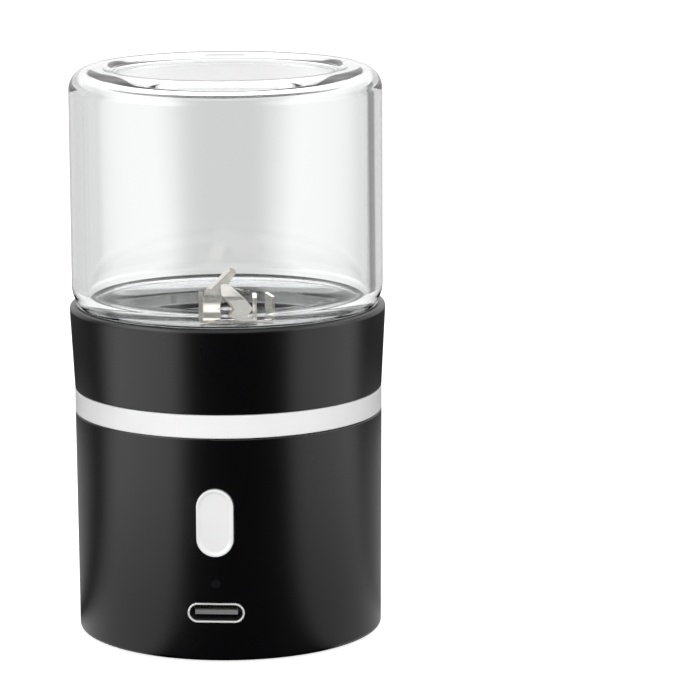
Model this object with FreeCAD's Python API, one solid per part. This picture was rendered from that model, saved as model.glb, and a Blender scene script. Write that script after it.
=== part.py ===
import FreeCAD
import Part
import math
import os

from FreeCAD import Vector

# Portable rechargeable grinder: a glass jar stands mouth down in a flared collar, and a motor under the
# collar's floor turns a bent steel cutter inside it. Below are a trim ring and a tapered housing with one
# push button, a charge light and a USB-C socket. Millimetres, +Z up, front at -Y, origin under the feet.

# Housing, trim ring and collar
HOUSING_R = 24.6            # outer radius at the housing's top edge
HOUSING_DRAFT = 0.2        # how much smaller that radius is at the bottom edge
HOUSING_WALL = 2.0
HOUSING_EDGE = 0.6          # rounding of the bottom edge
SEAM_EDGE = 0.25            # rounding of the edges that meet the trim ring
RING_HEIGHT = 3.7
COLLAR_HEIGHT = 13.65
COLLAR_FLARE = 0.65         # how much the collar's radius grows to its rim
RIM_ROUND = 0.85
SPIGOT_LENGTH = 6.6         # how far the collar reaches into the housing
SPIGOT_WALL = 2.0
SPIGOT_GAP = 0.2

# Jar
JAR_SHOWN = 37.7            # height of glass above the collar's rim
JAR_SETBACK = 0.4           # the jar's radius is this much less than the rim's
JAR_WALL = 2.3
JAR_TOP_ROUND = 3.6
JAR_SHOULDER_ROUND = 5.0
SHOULDER_SHOWN = 3.1        # height of the shoulder's start above the rim
NECK_STEP = 2.95            # the neck's radius is this much less than the jar's
NECK_ROUND = 1.5            # hollow rounding between shoulder and neck
NECK_LIP_ROUND = 0.7
HEEL_DROP = 1.0             # the shoulder is this much lower inside than outside, so its heel is thick
HEEL_ROUND = 2.0            # rounding of the shoulder inside
HEEL_NECK_ROUND = 1.5       # rounding from there into the neck
JAR_GAP = 0.3               # running gap between glass and collar
PUNT_R = 16.5               # radius of the sunk middle of the jar's closed end
PUNT_DEPTH = 1.0
PUNT_SLOPE = 3.0            # width of the slope down into it

# Grinding floor and seals
FLOOR_DEPTH = 4.25          # floor below the rim
FLOOR_THICK = 1.8
FLOOR_EDGE = 0.4
FLOOR_GAP = 0.4             # between the floor's edge and the inside of the neck
GROOVE_DEPTH = 3.6          # groove round the floor, in which the neck stands
GROOVE_THICK = 1.8
FLOOR_SKIRT = 2.0           # wall between the groove and the space for the bracket
GASKET_THICK = 1.0
GASKET_GAP = 0.1
SEAL_R = 3.2
SEAL_HEIGHT = 1.8
SEAL_LEDGE = 0.6
SEAL_WALL = 1.6
SEAL_LIP_GAP = 0.04
SEAL_SEAT_GAP = 0.03
LEDGE_HOLE_GAP = 0.5

# Motor
MOTOR_R = 12.2
MOTOR_LENGTH = 30.8
CAN_WALL = 1.0
CAN_FACE = 1.2
FRONT_BOSS_R = 3.0
FRONT_BOSS_HEIGHT = 1.5
REAR_BOSS_R = 3.4
REAR_BOSS_HEIGHT = 1.3
END_CAP_THICK = 2.6
SHAFT_R = 1.15
SHAFT_GAP = 0.03            # running clearance in the bushes
BUSH_R = 2.3
BUSH_LENGTH = 2.5
SEAT_GAP = 0.02             # clearance of a pushed-in piece
MAGNET_THICK = 1.8
MAGNET_ARC = 130.0
MAGNET_OVER = 2.0           # magnets reach this far past the core's ends
AIR_GAP = 0.45
CORE_BELOW_FACE = 6.6       # from the core to the inside of the can's face
CORE_ABOVE_CAP = 6.4        # from the end cap's inner face to the core
POLES = 3
POLE_STEM = 2.6
POLE_HUB_R = 2.7
POLE_SHOE = 1.5
POLE_ARC = 100.0
COIL_THICK = 1.5
COIL_GAP = 0.06
COMMUTATOR_R = 2.4
COMMUTATOR_LENGTH = 3.6
COMMUTATOR_SLOT = 0.35
COMMUTATOR_ABOVE_CAP = 0.5
BRUSH_GAP = 0.12
BRUSH_SIZE = 1.6
LEAF_THICK = 0.3
TERMINAL_CIRCLE = 8.4
TERMINAL_WIDTH = 2.4
TERMINAL_THICK = 0.5
TERMINAL_REACH = 1.3

# Motor bracket and screws
BRACKET_THICK = 1.2
BRACKET_R = 16.4
BRACKET_DROP = 2.0          # height of the bosses between floor and bracket
BRACKET_SCREW_CIRCLE = 14.4
BRACKET_BOSS_R = 2.0
MOTOR_SCREW_CIRCLE = 8.0
SCREW_R = 0.95
SCREW_HEAD_R = 1.7
SCREW_HEAD_HEIGHT = 1.1
SCREW_HOLE_GAP = 0.2
SCREW_PILOT_GAP = 0.02
CROSS_WIDTH = 0.45
CROSS_DEPTH = 0.6
BRACKET_SCREW_LENGTH = 3.4
MOTOR_SCREW_LENGTH = 3.0
COLLAR_SCREW_LENGTH = 8.0
COVER_SCREW_LENGTH = 7.0
SCREW_BOSS_R = 2.4
LUG_THICK = 3.0
WEB_WIDTH = 2.6
SCREW_SETBACK = 2.7         # screw axes stand this far inside the housing's wall
SCREW_ANGLES = (90.0, 210.0, 330.0)
BRACKET_ANGLES = (30.0, 150.0, 270.0)

# Base
FOOT_PROUD = 0.35            # the foot stands this far below the housing's edge
FOOT_INNER_R = 12.4
FOOT_OUTER_R = 16.6
FOOT_SEAT = 0.4             # depth of its groove in the cover
FOOT_EDGE = 0.25
COVER_INSET = 0.4
COVER_THICK = 2.0
COVER_GAP = 0.15
COVER_BOSS_HEIGHT = 9.0

# Battery
PAD_THICK = 0.8
BATTERY_WIDTH = 28.0
BATTERY_DEPTH = 24.0
BATTERY_THICK = 7.3
BATTERY_EDGE = 1.6
BATTERY_HEADROOM = 1.1
BATTERY_SIDE_GAP = 0.3
BATTERY_BACK_GAP = 0.7
FENCE_THICK = 1.2
FENCE_HEIGHT = 4.0
FENCE_LENGTH = 16.0

# Button, switch and circuit board
BUTTON_WIDTH = 5.8
BUTTON_HEIGHT = 10.75
BUTTON_Z = 22.65
BUTTON_PROUD = 0.65
BUTTON_ROUND = 0.2
BUTTON_RIM = 0.3            # rim round the dished face
DISH_SLOPE = 0.45
DISH_DEPTH = 0.3
BUTTON_GAP = 0.15
BUTTON_FLANGE = 1.1         # the flange is this much wider than the hole, each side
BUTTON_FLANGE_THICK = 1.1
BUTTON_FLANGE_GAP = 0.25
BUTTON_TRAVEL = 0.4
SWITCH_SIZE = 6.0
SWITCH_HEIGHT = 3.4
SWITCH_PLATE = 0.3          # metal face of the switch
PLUNGER_R = 1.75
PLUNGER_PROUD = 0.7
PLUNGER_IN = 1.2
PLUNGER_GAP = 0.08
BOARD_WIDTH = 24.0
BOARD_THICK = 1.2
BOARD_FOOT_GAP = 0.5
BOARD_TOP_GAP = 0.8
RAIL_THICK = 1.3
RAIL_GRIP = 1.2
RAIL_GAP = 0.1
RAIL_HEIGHT = 22.0
CHIP_SIZES = ((5.0, 4.0, 1.5), (3.0, 1.6, 1.1), (4.0, 4.0, 1.8), (1.6, 0.8, 0.6), (2.0, 1.2, 0.8))
CHIP_PLACES = ((0.0, 6.8), (-6.0, 7.3), (6.0, 5.3), (-2.4, 10.6), (2.2, 10.6))  # x, and depth below the top

# Charge socket and charge light
PORT_Z = 8.1
PORT_WIDTH = 8.94
PORT_HEIGHT = 3.16
PORT_WALL = 0.3
PORT_RECESS = 0.12
PORT_GAP = 0.16
PORT_BACK = 2.2             # depth of the insulator block behind the tongue
TONGUE_WIDTH = 6.69
TONGUE_THICK = 0.7
TONGUE_SETBACK = 0.7
LIGHT_Z = 12.85
LIGHT_R = 0.75
LIGHT_GAP = 0.05
LIGHT_FLANGE_R = 1.3
LIGHT_FLANGE_THICK = 0.8
LED_SIZE = 1.6
LED_HEIGHT = 0.7
LED_GAP = 0.2

# Cutter
SHEET = 0.7
CUTTER_TURN = 5.6           # rest angle of the cutter about the shaft
CUTTER_CLEARANCE = 0.3      # hub above the floor
HUB_FLANGE_R = 3.1
HUB_FLANGE_THICK = 0.4
HUB_STUD_R = 1.6
HUB_STUD_OVER = 0.5         # stud above the blades, inside the nut
HUB_CAP = 0.3               # metal above the shaft's end
BLADE_HOLE_GAP = 0.03
BLADE_HUB_R = 3.2
CLAW_STRIP = (1.3, 2.2)     # from the shaft's middle, where a claw leaves the hub and where it bends up
CLAW_RISE = 62.0            # degrees above the floor after the first bend
CLAW_BEND_R = 0.8
CLAW_REACH = 7.0            # sheet after the second bend, before it is cut to shape
CLAW_BEVEL = 0.45
TALL_SHANK = 0.3            # flat sheet between the two bends
TALL_CURL_R = 3.3
TALL_CURL = 38.0            # degrees of the second bend, back towards the shaft
TALL_ROOT = (-4.05, -1.7)   # sides at the root
TALL_BACK = (-4.0, 2.6)     # points of the shape seen from the front, above the blade's underside
TALL_BOW = (-3.7, 3.7)
TALL_KNEE = (-3.05, 4.5)
TALL_TIP = ((0.2, 7.75), (0.95, 7.73), (1.4, 6.95))
TALL_HOLLOW = (0.5, 5.6)
TALL_THROAT = (-0.98, 2.6)
LOW_SHANK = 3.2
LOW_CURL_R = 0.5
LOW_CURL = 48.0
LOW_ROOT = (-4.85, -1.75)
LOW_KNEE = (-4.85, 0.95)
LOW_BACK = (-3.31, 3.23)
LOW_TIP = ((-0.45, 5.99), (0.45, 6.3), (1.08, 6.1))
LOW_HOLLOW = (0.98, 4.83)
LOW_THROAT = (-1.75, 0.8)
TOOTH_WIDTH = 1.8
TOOTH_BEND_R = 0.6
TOOTH_SLANT = 0.5
TEETH = ((0.0, 3.35, 3.45), (180.0, 3.35, 4.0), (39.0, 7.9, 2.6))  # angle, reach, height after the bend
NUT_FLATS = 3.8
NUT_HEIGHT = 0.9
NUT_CHAMFER = 0.25

# Leads
LEAD_R = 0.55
BATTERY_LEAD_X = 3.0
BATTERY_LEAD_Z = 5.6
MOTOR_LEAD_Z = 18.0
MOTOR_LEAD_BEHIND = 2.2     # distance behind the board at which the motor's leads rise

# Heights, from the foot up
Z_HOUSING = FOOT_PROUD
Z_COVER = Z_HOUSING + COVER_INSET
Z_COVER_TOP = Z_COVER + COVER_THICK
Z_BATTERY = Z_COVER_TOP + PAD_THICK
Z_BATTERY_TOP = Z_BATTERY + BATTERY_THICK
Z_REAR_BOSS = Z_BATTERY_TOP + BATTERY_HEADROOM
Z_MOTOR = Z_REAR_BOSS + REAR_BOSS_HEIGHT
Z_CAP_TOP = Z_MOTOR + END_CAP_THICK
Z_FACE = Z_MOTOR + MOTOR_LENGTH
Z_BRACKET_TOP = Z_FACE + BRACKET_THICK
Z_FLOOR_UNDER = Z_BRACKET_TOP + BRACKET_DROP
Z_FLOOR = Z_FLOOR_UNDER + FLOOR_THICK
Z_RIM = Z_FLOOR + FLOOR_DEPTH
Z_COLLAR = Z_RIM - COLLAR_HEIGHT
Z_RING = Z_COLLAR - RING_HEIGHT
Z_SPIGOT = Z_COLLAR - SPIGOT_LENGTH
Z_GROOVE = Z_FLOOR - GROOVE_DEPTH
Z_GROOVE_UNDER = Z_GROOVE - GROOVE_THICK
Z_GASKET_TOP = Z_GROOVE + GASKET_THICK
Z_JAR_TOP = Z_RIM + JAR_SHOWN
Z_SHOULDER = Z_RIM + SHOULDER_SHOWN
Z_CORE = Z_CAP_TOP + CORE_ABOVE_CAP
CORE_LENGTH = Z_FACE - CAN_FACE - CORE_BELOW_FACE - Z_CORE
Z_BLADES = Z_FLOOR + CUTTER_CLEARANCE + HUB_FLANGE_THICK
Z_CLAWS = Z_BLADES + SHEET
Z_NUT = Z_CLAWS + SHEET

# Radii that follow from the sizes above
RIM_R = HOUSING_R + COLLAR_FLARE
JAR_R = RIM_R - JAR_SETBACK
NECK_R = JAR_R - NECK_STEP
NECK_INNER_R = NECK_R - JAR_WALL
FLOOR_R = NECK_INNER_R - FLOOR_GAP
SOCKET_R = NECK_R + JAR_GAP
SPIGOT_R = HOUSING_R - HOUSING_WALL - SPIGOT_GAP
SPIGOT_INNER_R = SPIGOT_R - SPIGOT_WALL
CAN_INNER_R = MOTOR_R - CAN_WALL
MAGNET_INNER_R = CAN_INNER_R - MAGNET_THICK
CORE_R = MAGNET_INNER_R - AIR_GAP
CAVITY_R = FLOOR_R - FLOOR_SKIRT
COVER_R = HOUSING_R - HOUSING_DRAFT - HOUSING_WALL - COVER_GAP


def shoulder(wall_r, neck_r, z, crown, hollow):
    """The centres of a shoulder's two rounds, and the angle where one passes into the other."""
    across = neck_r + hollow - (wall_r - crown)
    apart = crown + hollow
    drop = math.sqrt(apart ** 2 - across ** 2)
    return (wall_r - crown, z), (neck_r + hollow, z - drop), -math.degrees(math.acos(across / apart))


SHOULDER, HOLLOW, SHOULDER_FALL = shoulder(JAR_R, NECK_R, Z_SHOULDER, JAR_SHOULDER_ROUND, NECK_ROUND)


def housing_r(z):
    """Outer radius of the tapered housing at a height."""
    share = (z - Z_HOUSING) / (Z_RING - Z_HOUSING)
    return HOUSING_R - HOUSING_DRAFT * (1.0 - share)


def inner_r(z):
    return housing_r(z) - HOUSING_WALL


# Depths behind the front, from the wall inwards
COLLAR_SCREW_CIRCLE = inner_r(Z_SPIGOT) - SCREW_SETBACK - SPIGOT_WALL / 2
COVER_SCREW_CIRCLE = inner_r(Z_COVER_TOP) - SCREW_SETBACK
FLANGE_HALF = BUTTON_WIDTH / 2 + BUTTON_FLANGE
Y_FLANGE = -math.sqrt(inner_r(BUTTON_Z - BUTTON_HEIGHT / 2) ** 2 - FLANGE_HALF ** 2) + BUTTON_FLANGE_GAP
Y_FLANGE_BACK = Y_FLANGE + BUTTON_FLANGE_THICK
Y_SWITCH = Y_FLANGE_BACK + PLUNGER_PROUD
Y_BOARD = Y_SWITCH + SWITCH_HEIGHT
Y_BOARD_BACK = Y_BOARD + BOARD_THICK
Y_PORT = -housing_r(PORT_Z) + PORT_RECESS
Y_BATTERY_BACK = COVER_SCREW_CIRCLE - SCREW_BOSS_R - BATTERY_BACK_GAP
Y_BATTERY_FRONT = Y_BATTERY_BACK - BATTERY_DEPTH
Z_BOARD = Z_COVER_TOP + BOARD_FOOT_GAP
Z_BOARD_TOP = Z_SPIGOT - BOARD_TOP_GAP

AXIS = Vector(0, 0, 1)
ORIGIN = Vector(0, 0, 0)


# Simple solids
def disc(radius, low, high, x=0.0, y=0.0):
    return Part.makeCylinder(radius, high - low, Vector(x, y, low))


def tube(outer, inner, low, high, x=0.0, y=0.0):
    return disc(outer, low, high, x, y).cut(disc(inner, low, high, x, y))


def block(x0, x1, y0, y1, z0, z1):
    return Part.makeBox(x1 - x0, y1 - y0, z1 - z0, Vector(x0, y0, z0))


def turned(shape, angle):
    """A copy of a shape, turned about the vertical axis."""
    copy = shape.copy()
    copy.rotate(ORIGIN, AXIS, angle)
    return copy


def joined(shapes):
    whole = shapes[0].multiFuse(shapes[1:]) if len(shapes) > 1 else shapes[0]
    return whole.removeSplitter()


def around(circle, angles):
    """Points on a circle about the axis."""
    return [(circle * math.cos(math.radians(a)), circle * math.sin(math.radians(a))) for a in angles]


# Outlines in the plane of radius and height
def at(centre, radius, angle):
    a = math.radians(angle)
    return centre[0] + radius * math.cos(a), centre[1] + radius * math.sin(a)


def sweep(centre, radius, start, end):
    """An arc step: the point half way and the point at its end."""
    return at(centre, radius, (start + end) / 2), at(centre, radius, end)


def outline(start, steps, place):
    """A closed wire. A step that is a point is a line to it, and a pair of points is an arc."""
    edges = []
    here = start
    for step in list(steps) + [start]:
        is_arc = isinstance(step[0], tuple)
        there = step[1] if is_arc else step
        if is_arc:
            edges.append(Part.Arc(place(here), place(step[0]), place(there)).toShape())
        elif math.dist(here, there) > 1e-6:
            edges.append(Part.LineSegment(place(here), place(there)).toShape())
        here = there
    return Part.Wire(edges)


def spun(start, steps):
    """A solid of revolution from an outline of (radius, height) points."""
    wire = outline(start, steps, lambda p: Vector(p[0], 0, p[1]))
    return Part.Face(wire).revolve(ORIGIN, AXIS, 360)


def slot_wire(width, height, z, y):
    """An outline across Y with round ends: taller than wide, or wider than tall."""
    round_r = min(width, height) / 2
    half_w = width / 2 - round_r
    half_h = height / 2 - round_r
    if half_h > 0:
        start = (round_r, z - half_h)
        steps = [(round_r, z + half_h), sweep((0, z + half_h), round_r, 0, 180),
                 (-round_r, z - half_h), sweep((0, z - half_h), round_r, 180, 360)]
    else:
        start = (-half_w, z - round_r)
        steps = [(half_w, z - round_r), sweep((half_w, z), round_r, -90, 90),
                 (-half_w, z + round_r), sweep((-half_w, z), round_r, 90, 270)]
    return outline(start, steps, lambda p: Vector(p[0], y, p[1]))


def slot_prism(width, height, z, y0, y1):
    """A bar along Y with round ends to its section."""
    return Part.Face(slot_wire(width, height, z, y0)).extrude(Vector(0, y1 - y0, 0))


def screw(x, y, seat, length, up):
    """A cross-head screw. Its head bears on the height seat, and its shank runs up or down from there."""
    way = 1 if up else -1
    tip = seat + way * length
    top = seat - way * SCREW_HEAD_HEIGHT
    head = disc(SCREW_HEAD_R, min(seat, top), max(seat, top), x, y)
    rim = [e for e in head.Edges if abs(e.CenterOfMass.z - top) < 1e-6]
    head = head.makeFillet(SCREW_HEAD_HEIGHT / 3, rim)
    shank = disc(SCREW_R, min(seat, tip), max(seat, tip), x, y)
    low, high = sorted((top, top + way * CROSS_DEPTH))
    reach = SCREW_HEAD_R * 0.6
    half = CROSS_WIDTH / 2
    cross = block(x - reach, x + reach, y - half, y + half, low, high)
    cross = cross.fuse(block(x - half, x + half, y - reach, y + reach, low, high))
    return head.fuse(shank).removeSplitter().cut(cross)



def slope(x0, z0, x1, z1):
    """Two arc steps that pass smoothly from one level to another, going from x0 to x1."""
    run = (x1 - x0) / 2
    fall = (z1 - z0) / 2
    radius = (run ** 2 + fall ** 2) / (2 * abs(fall))
    turn = 2 * math.degrees(math.atan2(abs(fall), abs(run)))
    side = 1 if fall < 0 else -1
    way = 1 if run < 0 else -1
    first = (x0, z0 - side * radius)
    second = (x1, z1 + side * radius)
    return [sweep(first, radius, side * 90, side * 90 + side * way * turn),
            sweep(second, radius, -side * 90 + side * way * turn, -side * 90)]


def backwards(start, steps):
    """The same run of lines and arcs, taken from its other end."""
    ends = [start] + [s[1] if isinstance(s[0], tuple) else s for s in steps]
    back = []
    for number in range(len(steps), 0, -1):
        step = steps[number - 1]
        there = ends[number - 1]
        back.append((step[0], there) if isinstance(step[0], tuple) else there)
    return ends[-1], back


# Glass
def jar_side(wall_r, neck_r, z, crown, hollow):
    """The jar's side from its wall down to its neck, inside or outside."""
    above, below, fall = shoulder(wall_r, neck_r, z, crown, hollow)
    return (wall_r, z), [sweep(above, crown, 0, fall), sweep(below, hollow, 180 + fall, 180)]


def glass_jar():
    start, side = jar_side(JAR_R, NECK_R, Z_SHOULDER, JAR_SHOULDER_ROUND, NECK_ROUND)
    inner_foot, inner_side = backwards(*jar_side(JAR_R - JAR_WALL, NECK_INNER_R, Z_SHOULDER - HEEL_DROP,
                                                 HEEL_ROUND, HEEL_NECK_ROUND))
    lip = NECK_LIP_ROUND
    ceiling = Z_JAR_TOP - JAR_WALL
    inner_round = JAR_TOP_ROUND - JAR_WALL
    wall = JAR_R - JAR_WALL
    punt_edge = PUNT_R + PUNT_SLOPE
    steps = side + [
        (NECK_R, Z_GASKET_TOP + lip),
        sweep((NECK_R - lip, Z_GASKET_TOP + lip), lip, 0, -90),
        (NECK_INNER_R + lip, Z_GASKET_TOP),
        sweep((NECK_INNER_R + lip, Z_GASKET_TOP + lip), lip, -90, -180),
        inner_foot] + inner_side + [
        (wall, ceiling - inner_round),
        sweep((wall - inner_round, ceiling - inner_round), inner_round, 0, 90),
        (punt_edge, ceiling)] + slope(punt_edge, ceiling, PUNT_R, ceiling - PUNT_DEPTH) + [
        (0.0, ceiling - PUNT_DEPTH),
        (0.0, Z_JAR_TOP - PUNT_DEPTH),
        (PUNT_R, Z_JAR_TOP - PUNT_DEPTH)] + slope(PUNT_R, Z_JAR_TOP - PUNT_DEPTH, punt_edge, Z_JAR_TOP) + [
        (JAR_R - JAR_TOP_ROUND, Z_JAR_TOP),
        sweep((JAR_R - JAR_TOP_ROUND, Z_JAR_TOP - JAR_TOP_ROUND), JAR_TOP_ROUND, 90, 0)]
    return spun(start, steps)


def jar_gasket():
    return tube(SOCKET_R - GASKET_GAP, FLOOR_R + GASKET_GAP, Z_GROOVE, Z_GASKET_TOP)


# Collar and what hangs from it
def collar():
    mouth = JAR_SHOULDER_ROUND + JAR_GAP
    rim_angle = -math.degrees(math.asin(SHOULDER_SHOWN / mouth))
    ledge = SHAFT_R + LEDGE_HOLE_GAP
    pocket = Z_FLOOR - SEAL_HEIGHT
    seal_boss = SEAL_R + SEAL_WALL
    steps = [
        sweep((HOUSING_R - SEAM_EDGE, Z_COLLAR + SEAM_EDGE), SEAM_EDGE, -90, 0),
        (RIM_R, Z_RIM - RIM_ROUND),
        sweep((RIM_R - RIM_ROUND, Z_RIM - RIM_ROUND), RIM_ROUND, 0, 90),
        at(SHOULDER, mouth, rim_angle),
        sweep(SHOULDER, mouth, rim_angle, SHOULDER_FALL),
        sweep(HOLLOW, NECK_ROUND - JAR_GAP, 180 + SHOULDER_FALL, 180),
        (SOCKET_R, Z_GROOVE),
        (FLOOR_R, Z_GROOVE),
        (FLOOR_R, Z_FLOOR - FLOOR_EDGE),
        sweep((FLOOR_R - FLOOR_EDGE, Z_FLOOR - FLOOR_EDGE), FLOOR_EDGE, 0, 90),
        (SEAL_R, Z_FLOOR),
        (SEAL_R, pocket),
        (ledge, pocket),
        (ledge, pocket - SEAL_LEDGE),
        (seal_boss, pocket - SEAL_LEDGE),
        (seal_boss, Z_FLOOR_UNDER),
        (CAVITY_R, Z_FLOOR_UNDER),
        (CAVITY_R, Z_GROOVE_UNDER),
        (SPIGOT_INNER_R, Z_GROOVE_UNDER),
        (SPIGOT_INNER_R, Z_SPIGOT),
        (SPIGOT_R, Z_SPIGOT),
        (SPIGOT_R, Z_COLLAR)]
    body = spun((HOUSING_R - SEAM_EDGE, Z_COLLAR), steps)
    bosses = [disc(SCREW_BOSS_R, Z_SPIGOT, Z_GROOVE_UNDER + GROOVE_THICK / 2, x, y)
              for x, y in around(COLLAR_SCREW_CIRCLE, SCREW_ANGLES)]
    bosses += [disc(BRACKET_BOSS_R, Z_BRACKET_TOP, Z_FLOOR_UNDER + FLOOR_THICK / 2, x, y)
               for x, y in around(BRACKET_SCREW_CIRCLE, BRACKET_ANGLES)]
    body = joined([body] + bosses)
    pilot = SCREW_R + SCREW_PILOT_GAP
    collar_depth = COLLAR_SCREW_LENGTH - LUG_THICK + SCREW_HOLE_GAP
    for x, y in around(COLLAR_SCREW_CIRCLE, SCREW_ANGLES):
        body = body.cut(disc(pilot, Z_SPIGOT, Z_SPIGOT + collar_depth, x, y))
    bracket_depth = BRACKET_SCREW_LENGTH - BRACKET_THICK + SCREW_HOLE_GAP
    for x, y in around(BRACKET_SCREW_CIRCLE, BRACKET_ANGLES):
        body = body.cut(disc(pilot, Z_BRACKET_TOP, Z_BRACKET_TOP + bracket_depth, x, y))
    return body.cut(button_room())


def button_room():
    """Room for the button's flange and travel, where the collar reaches as low as the button."""
    wide = 2 * (FLANGE_HALF + BUTTON_FLANGE_GAP)
    tall = BUTTON_HEIGHT + 2 * (BUTTON_FLANGE + BUTTON_FLANGE_GAP)
    back = Y_FLANGE_BACK + BUTTON_TRAVEL + BUTTON_FLANGE_GAP
    return slot_prism(wide, tall, BUTTON_Z, -SPIGOT_R - SPIGOT_GAP, back)


def shaft_seal():
    outer = SEAL_R - SEAL_SEAT_GAP
    inner = SHAFT_R + SEAL_LIP_GAP
    low = Z_FLOOR - SEAL_HEIGHT
    high = Z_FLOOR - SEAL_SEAT_GAP
    middle = (low + high) / 2
    hollow = inner + SEAL_HEIGHT / 3
    return spun((outer, low), [(outer, high), (hollow, high), (inner, middle), (hollow, low)])


def motor_bracket():
    plate = tube(BRACKET_R, FRONT_BOSS_R + SCREW_HOLE_GAP, Z_FACE, Z_BRACKET_TOP)
    hole = SCREW_R + SCREW_HOLE_GAP
    for x, y in around(BRACKET_SCREW_CIRCLE, BRACKET_ANGLES) + around(MOTOR_SCREW_CIRCLE, (0, 180)):
        plate = plate.cut(disc(hole, Z_FACE, Z_BRACKET_TOP, x, y))
    return plate


def bracket_screws():
    return Part.makeCompound([screw(x, y, Z_FACE, BRACKET_SCREW_LENGTH, True)
                              for x, y in around(BRACKET_SCREW_CIRCLE, BRACKET_ANGLES)])


def motor_screws():
    return Part.makeCompound([screw(x, y, Z_BRACKET_TOP, MOTOR_SCREW_LENGTH, False)
                              for x, y in around(MOTOR_SCREW_CIRCLE, (0, 180))])


def collar_screws():
    return Part.makeCompound([screw(x, y, Z_SPIGOT - LUG_THICK, COLLAR_SCREW_LENGTH, True)
                              for x, y in around(COLLAR_SCREW_CIRCLE, SCREW_ANGLES)])


# Motor
def motor_can():
    can = spun((MOTOR_R, Z_MOTOR), [
        (MOTOR_R, Z_FACE), (FRONT_BOSS_R, Z_FACE), (FRONT_BOSS_R, Z_FACE + FRONT_BOSS_HEIGHT),
        (BUSH_R, Z_FACE + FRONT_BOSS_HEIGHT), (BUSH_R, Z_FACE - CAN_FACE),
        (CAN_INNER_R, Z_FACE - CAN_FACE), (CAN_INNER_R, Z_MOTOR)])
    edge = [e for e in can.Edges if abs(e.CenterOfMass.z - Z_FACE) < 1e-6 and e.BoundBox.XMax > MOTOR_R - 0.01]
    can = can.makeFillet(CAN_WALL / 2, edge)
    for x, y in around(MOTOR_SCREW_CIRCLE, (0, 180)):
        can = can.cut(disc(SCREW_R + SCREW_PILOT_GAP, Z_FACE - CAN_FACE, Z_FACE, x, y))
    return can


def motor_end_cap():
    bush = BUSH_R + SEAT_GAP
    floor = Z_CAP_TOP - BUSH_LENGTH
    cap = spun((CAN_INNER_R - SEAT_GAP, Z_MOTOR), [
        (CAN_INNER_R - SEAT_GAP, Z_CAP_TOP), (bush, Z_CAP_TOP), (bush, floor), (SHAFT_R + LEDGE_HOLE_GAP, floor),
        (SHAFT_R + LEDGE_HOLE_GAP, Z_REAR_BOSS), (REAR_BOSS_R, Z_REAR_BOSS), (REAR_BOSS_R, Z_MOTOR)])
    for slot in terminal_blades(SEAT_GAP, Z_MOTOR, Z_CAP_TOP):
        cap = cap.cut(slot)
    return cap


def terminal_blades(gap, low, high):
    half_t = TERMINAL_THICK / 2 + gap
    half_w = TERMINAL_WIDTH / 2 + gap
    return [block(x - half_t, x + half_t, -half_w, half_w, low, high)
            for x in (-TERMINAL_CIRCLE, TERMINAL_CIRCLE)]


def motor_terminals():
    return Part.makeCompound(terminal_blades(0.0, Z_MOTOR - TERMINAL_REACH, Z_CAP_TOP))


def motor_brushes():
    """Two carbon blocks, each on a standing spring leaf that is fixed to a terminal."""
    middle = Z_CAP_TOP + COMMUTATOR_ABOVE_CAP + COMMUTATOR_LENGTH / 2
    near = COMMUTATOR_R + BRUSH_GAP
    far = near + BRUSH_SIZE
    half = BRUSH_SIZE / 2
    carbon = block(near, far, -half, half, middle - half, middle + half)
    leaf = block(far, TERMINAL_CIRCLE, -LEAF_THICK / 2, LEAF_THICK / 2, Z_CAP_TOP, middle + half)
    brush = joined([carbon, leaf])
    return Part.makeCompound([brush, turned(brush, 180)])


def bush(low):
    return tube(BUSH_R - SEAT_GAP, SHAFT_R + SHAFT_GAP, low, low + BUSH_LENGTH)


def front_bush():
    return bush(Z_FACE + FRONT_BOSS_HEIGHT - BUSH_LENGTH)


def rear_bush():
    return bush(Z_CAP_TOP - BUSH_LENGTH)


def arc_bar(outer, inner, angle, middle, low, high):
    """A curved bar about the axis, spanning an angle about its middle."""
    wire = outline((inner, low), [(outer, low), (outer, high), (inner, high)], lambda p: Vector(p[0], 0, p[1]))
    return turned(Part.Face(wire).revolve(ORIGIN, AXIS, angle), middle - angle / 2)


def motor_magnets():
    low = Z_CORE - MAGNET_OVER
    high = Z_CORE + CORE_LENGTH + MAGNET_OVER
    return Part.makeCompound([arc_bar(CAN_INNER_R - SEAT_GAP, MAGNET_INNER_R, MAGNET_ARC, a, low, high)
                              for a in (90, 270)])


# Spinning pieces
def motor_shaft():
    end = Z_NUT + HUB_STUD_OVER - HUB_CAP
    return disc(SHAFT_R, Z_REAR_BOSS + HUB_CAP, end)


def rotor_core():
    top = Z_CORE + CORE_LENGTH
    solids = [disc(POLE_HUB_R, Z_CORE, top)]
    stem = block(0, CORE_R - POLE_SHOE / 2, -POLE_STEM / 2, POLE_STEM / 2, Z_CORE, top)
    shoe = arc_bar(CORE_R, CORE_R - POLE_SHOE, POLE_ARC, 0, Z_CORE, top)
    for number in range(POLES):
        solids += [turned(stem, 360 / POLES * number), turned(shoe, 360 / POLES * number)]
    return joined(solids).cut(disc(SHAFT_R + SEAT_GAP, Z_CORE, top))


def rotor_windings():
    stem = POLE_STEM / 2 + COIL_GAP
    half = stem + COIL_THICK
    near = POLE_HUB_R + COIL_THICK / 2
    far = math.sqrt((CORE_R - POLE_SHOE) ** 2 - half ** 2) - COIL_GAP
    low = Z_CORE - COIL_GAP
    high = Z_CORE + CORE_LENGTH + COIL_GAP
    coil = block(near, far, -half, half, low - COIL_THICK, high + COIL_THICK)
    coil = coil.makeFillet(COIL_THICK / 2, [e for e in coil.Edges if e.BoundBox.XLength > far - near - 0.01])
    coil = coil.cut(block(near, far, -stem, stem, low, high))
    return Part.makeCompound([turned(coil, 360 / POLES * number) for number in range(POLES)])


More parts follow.
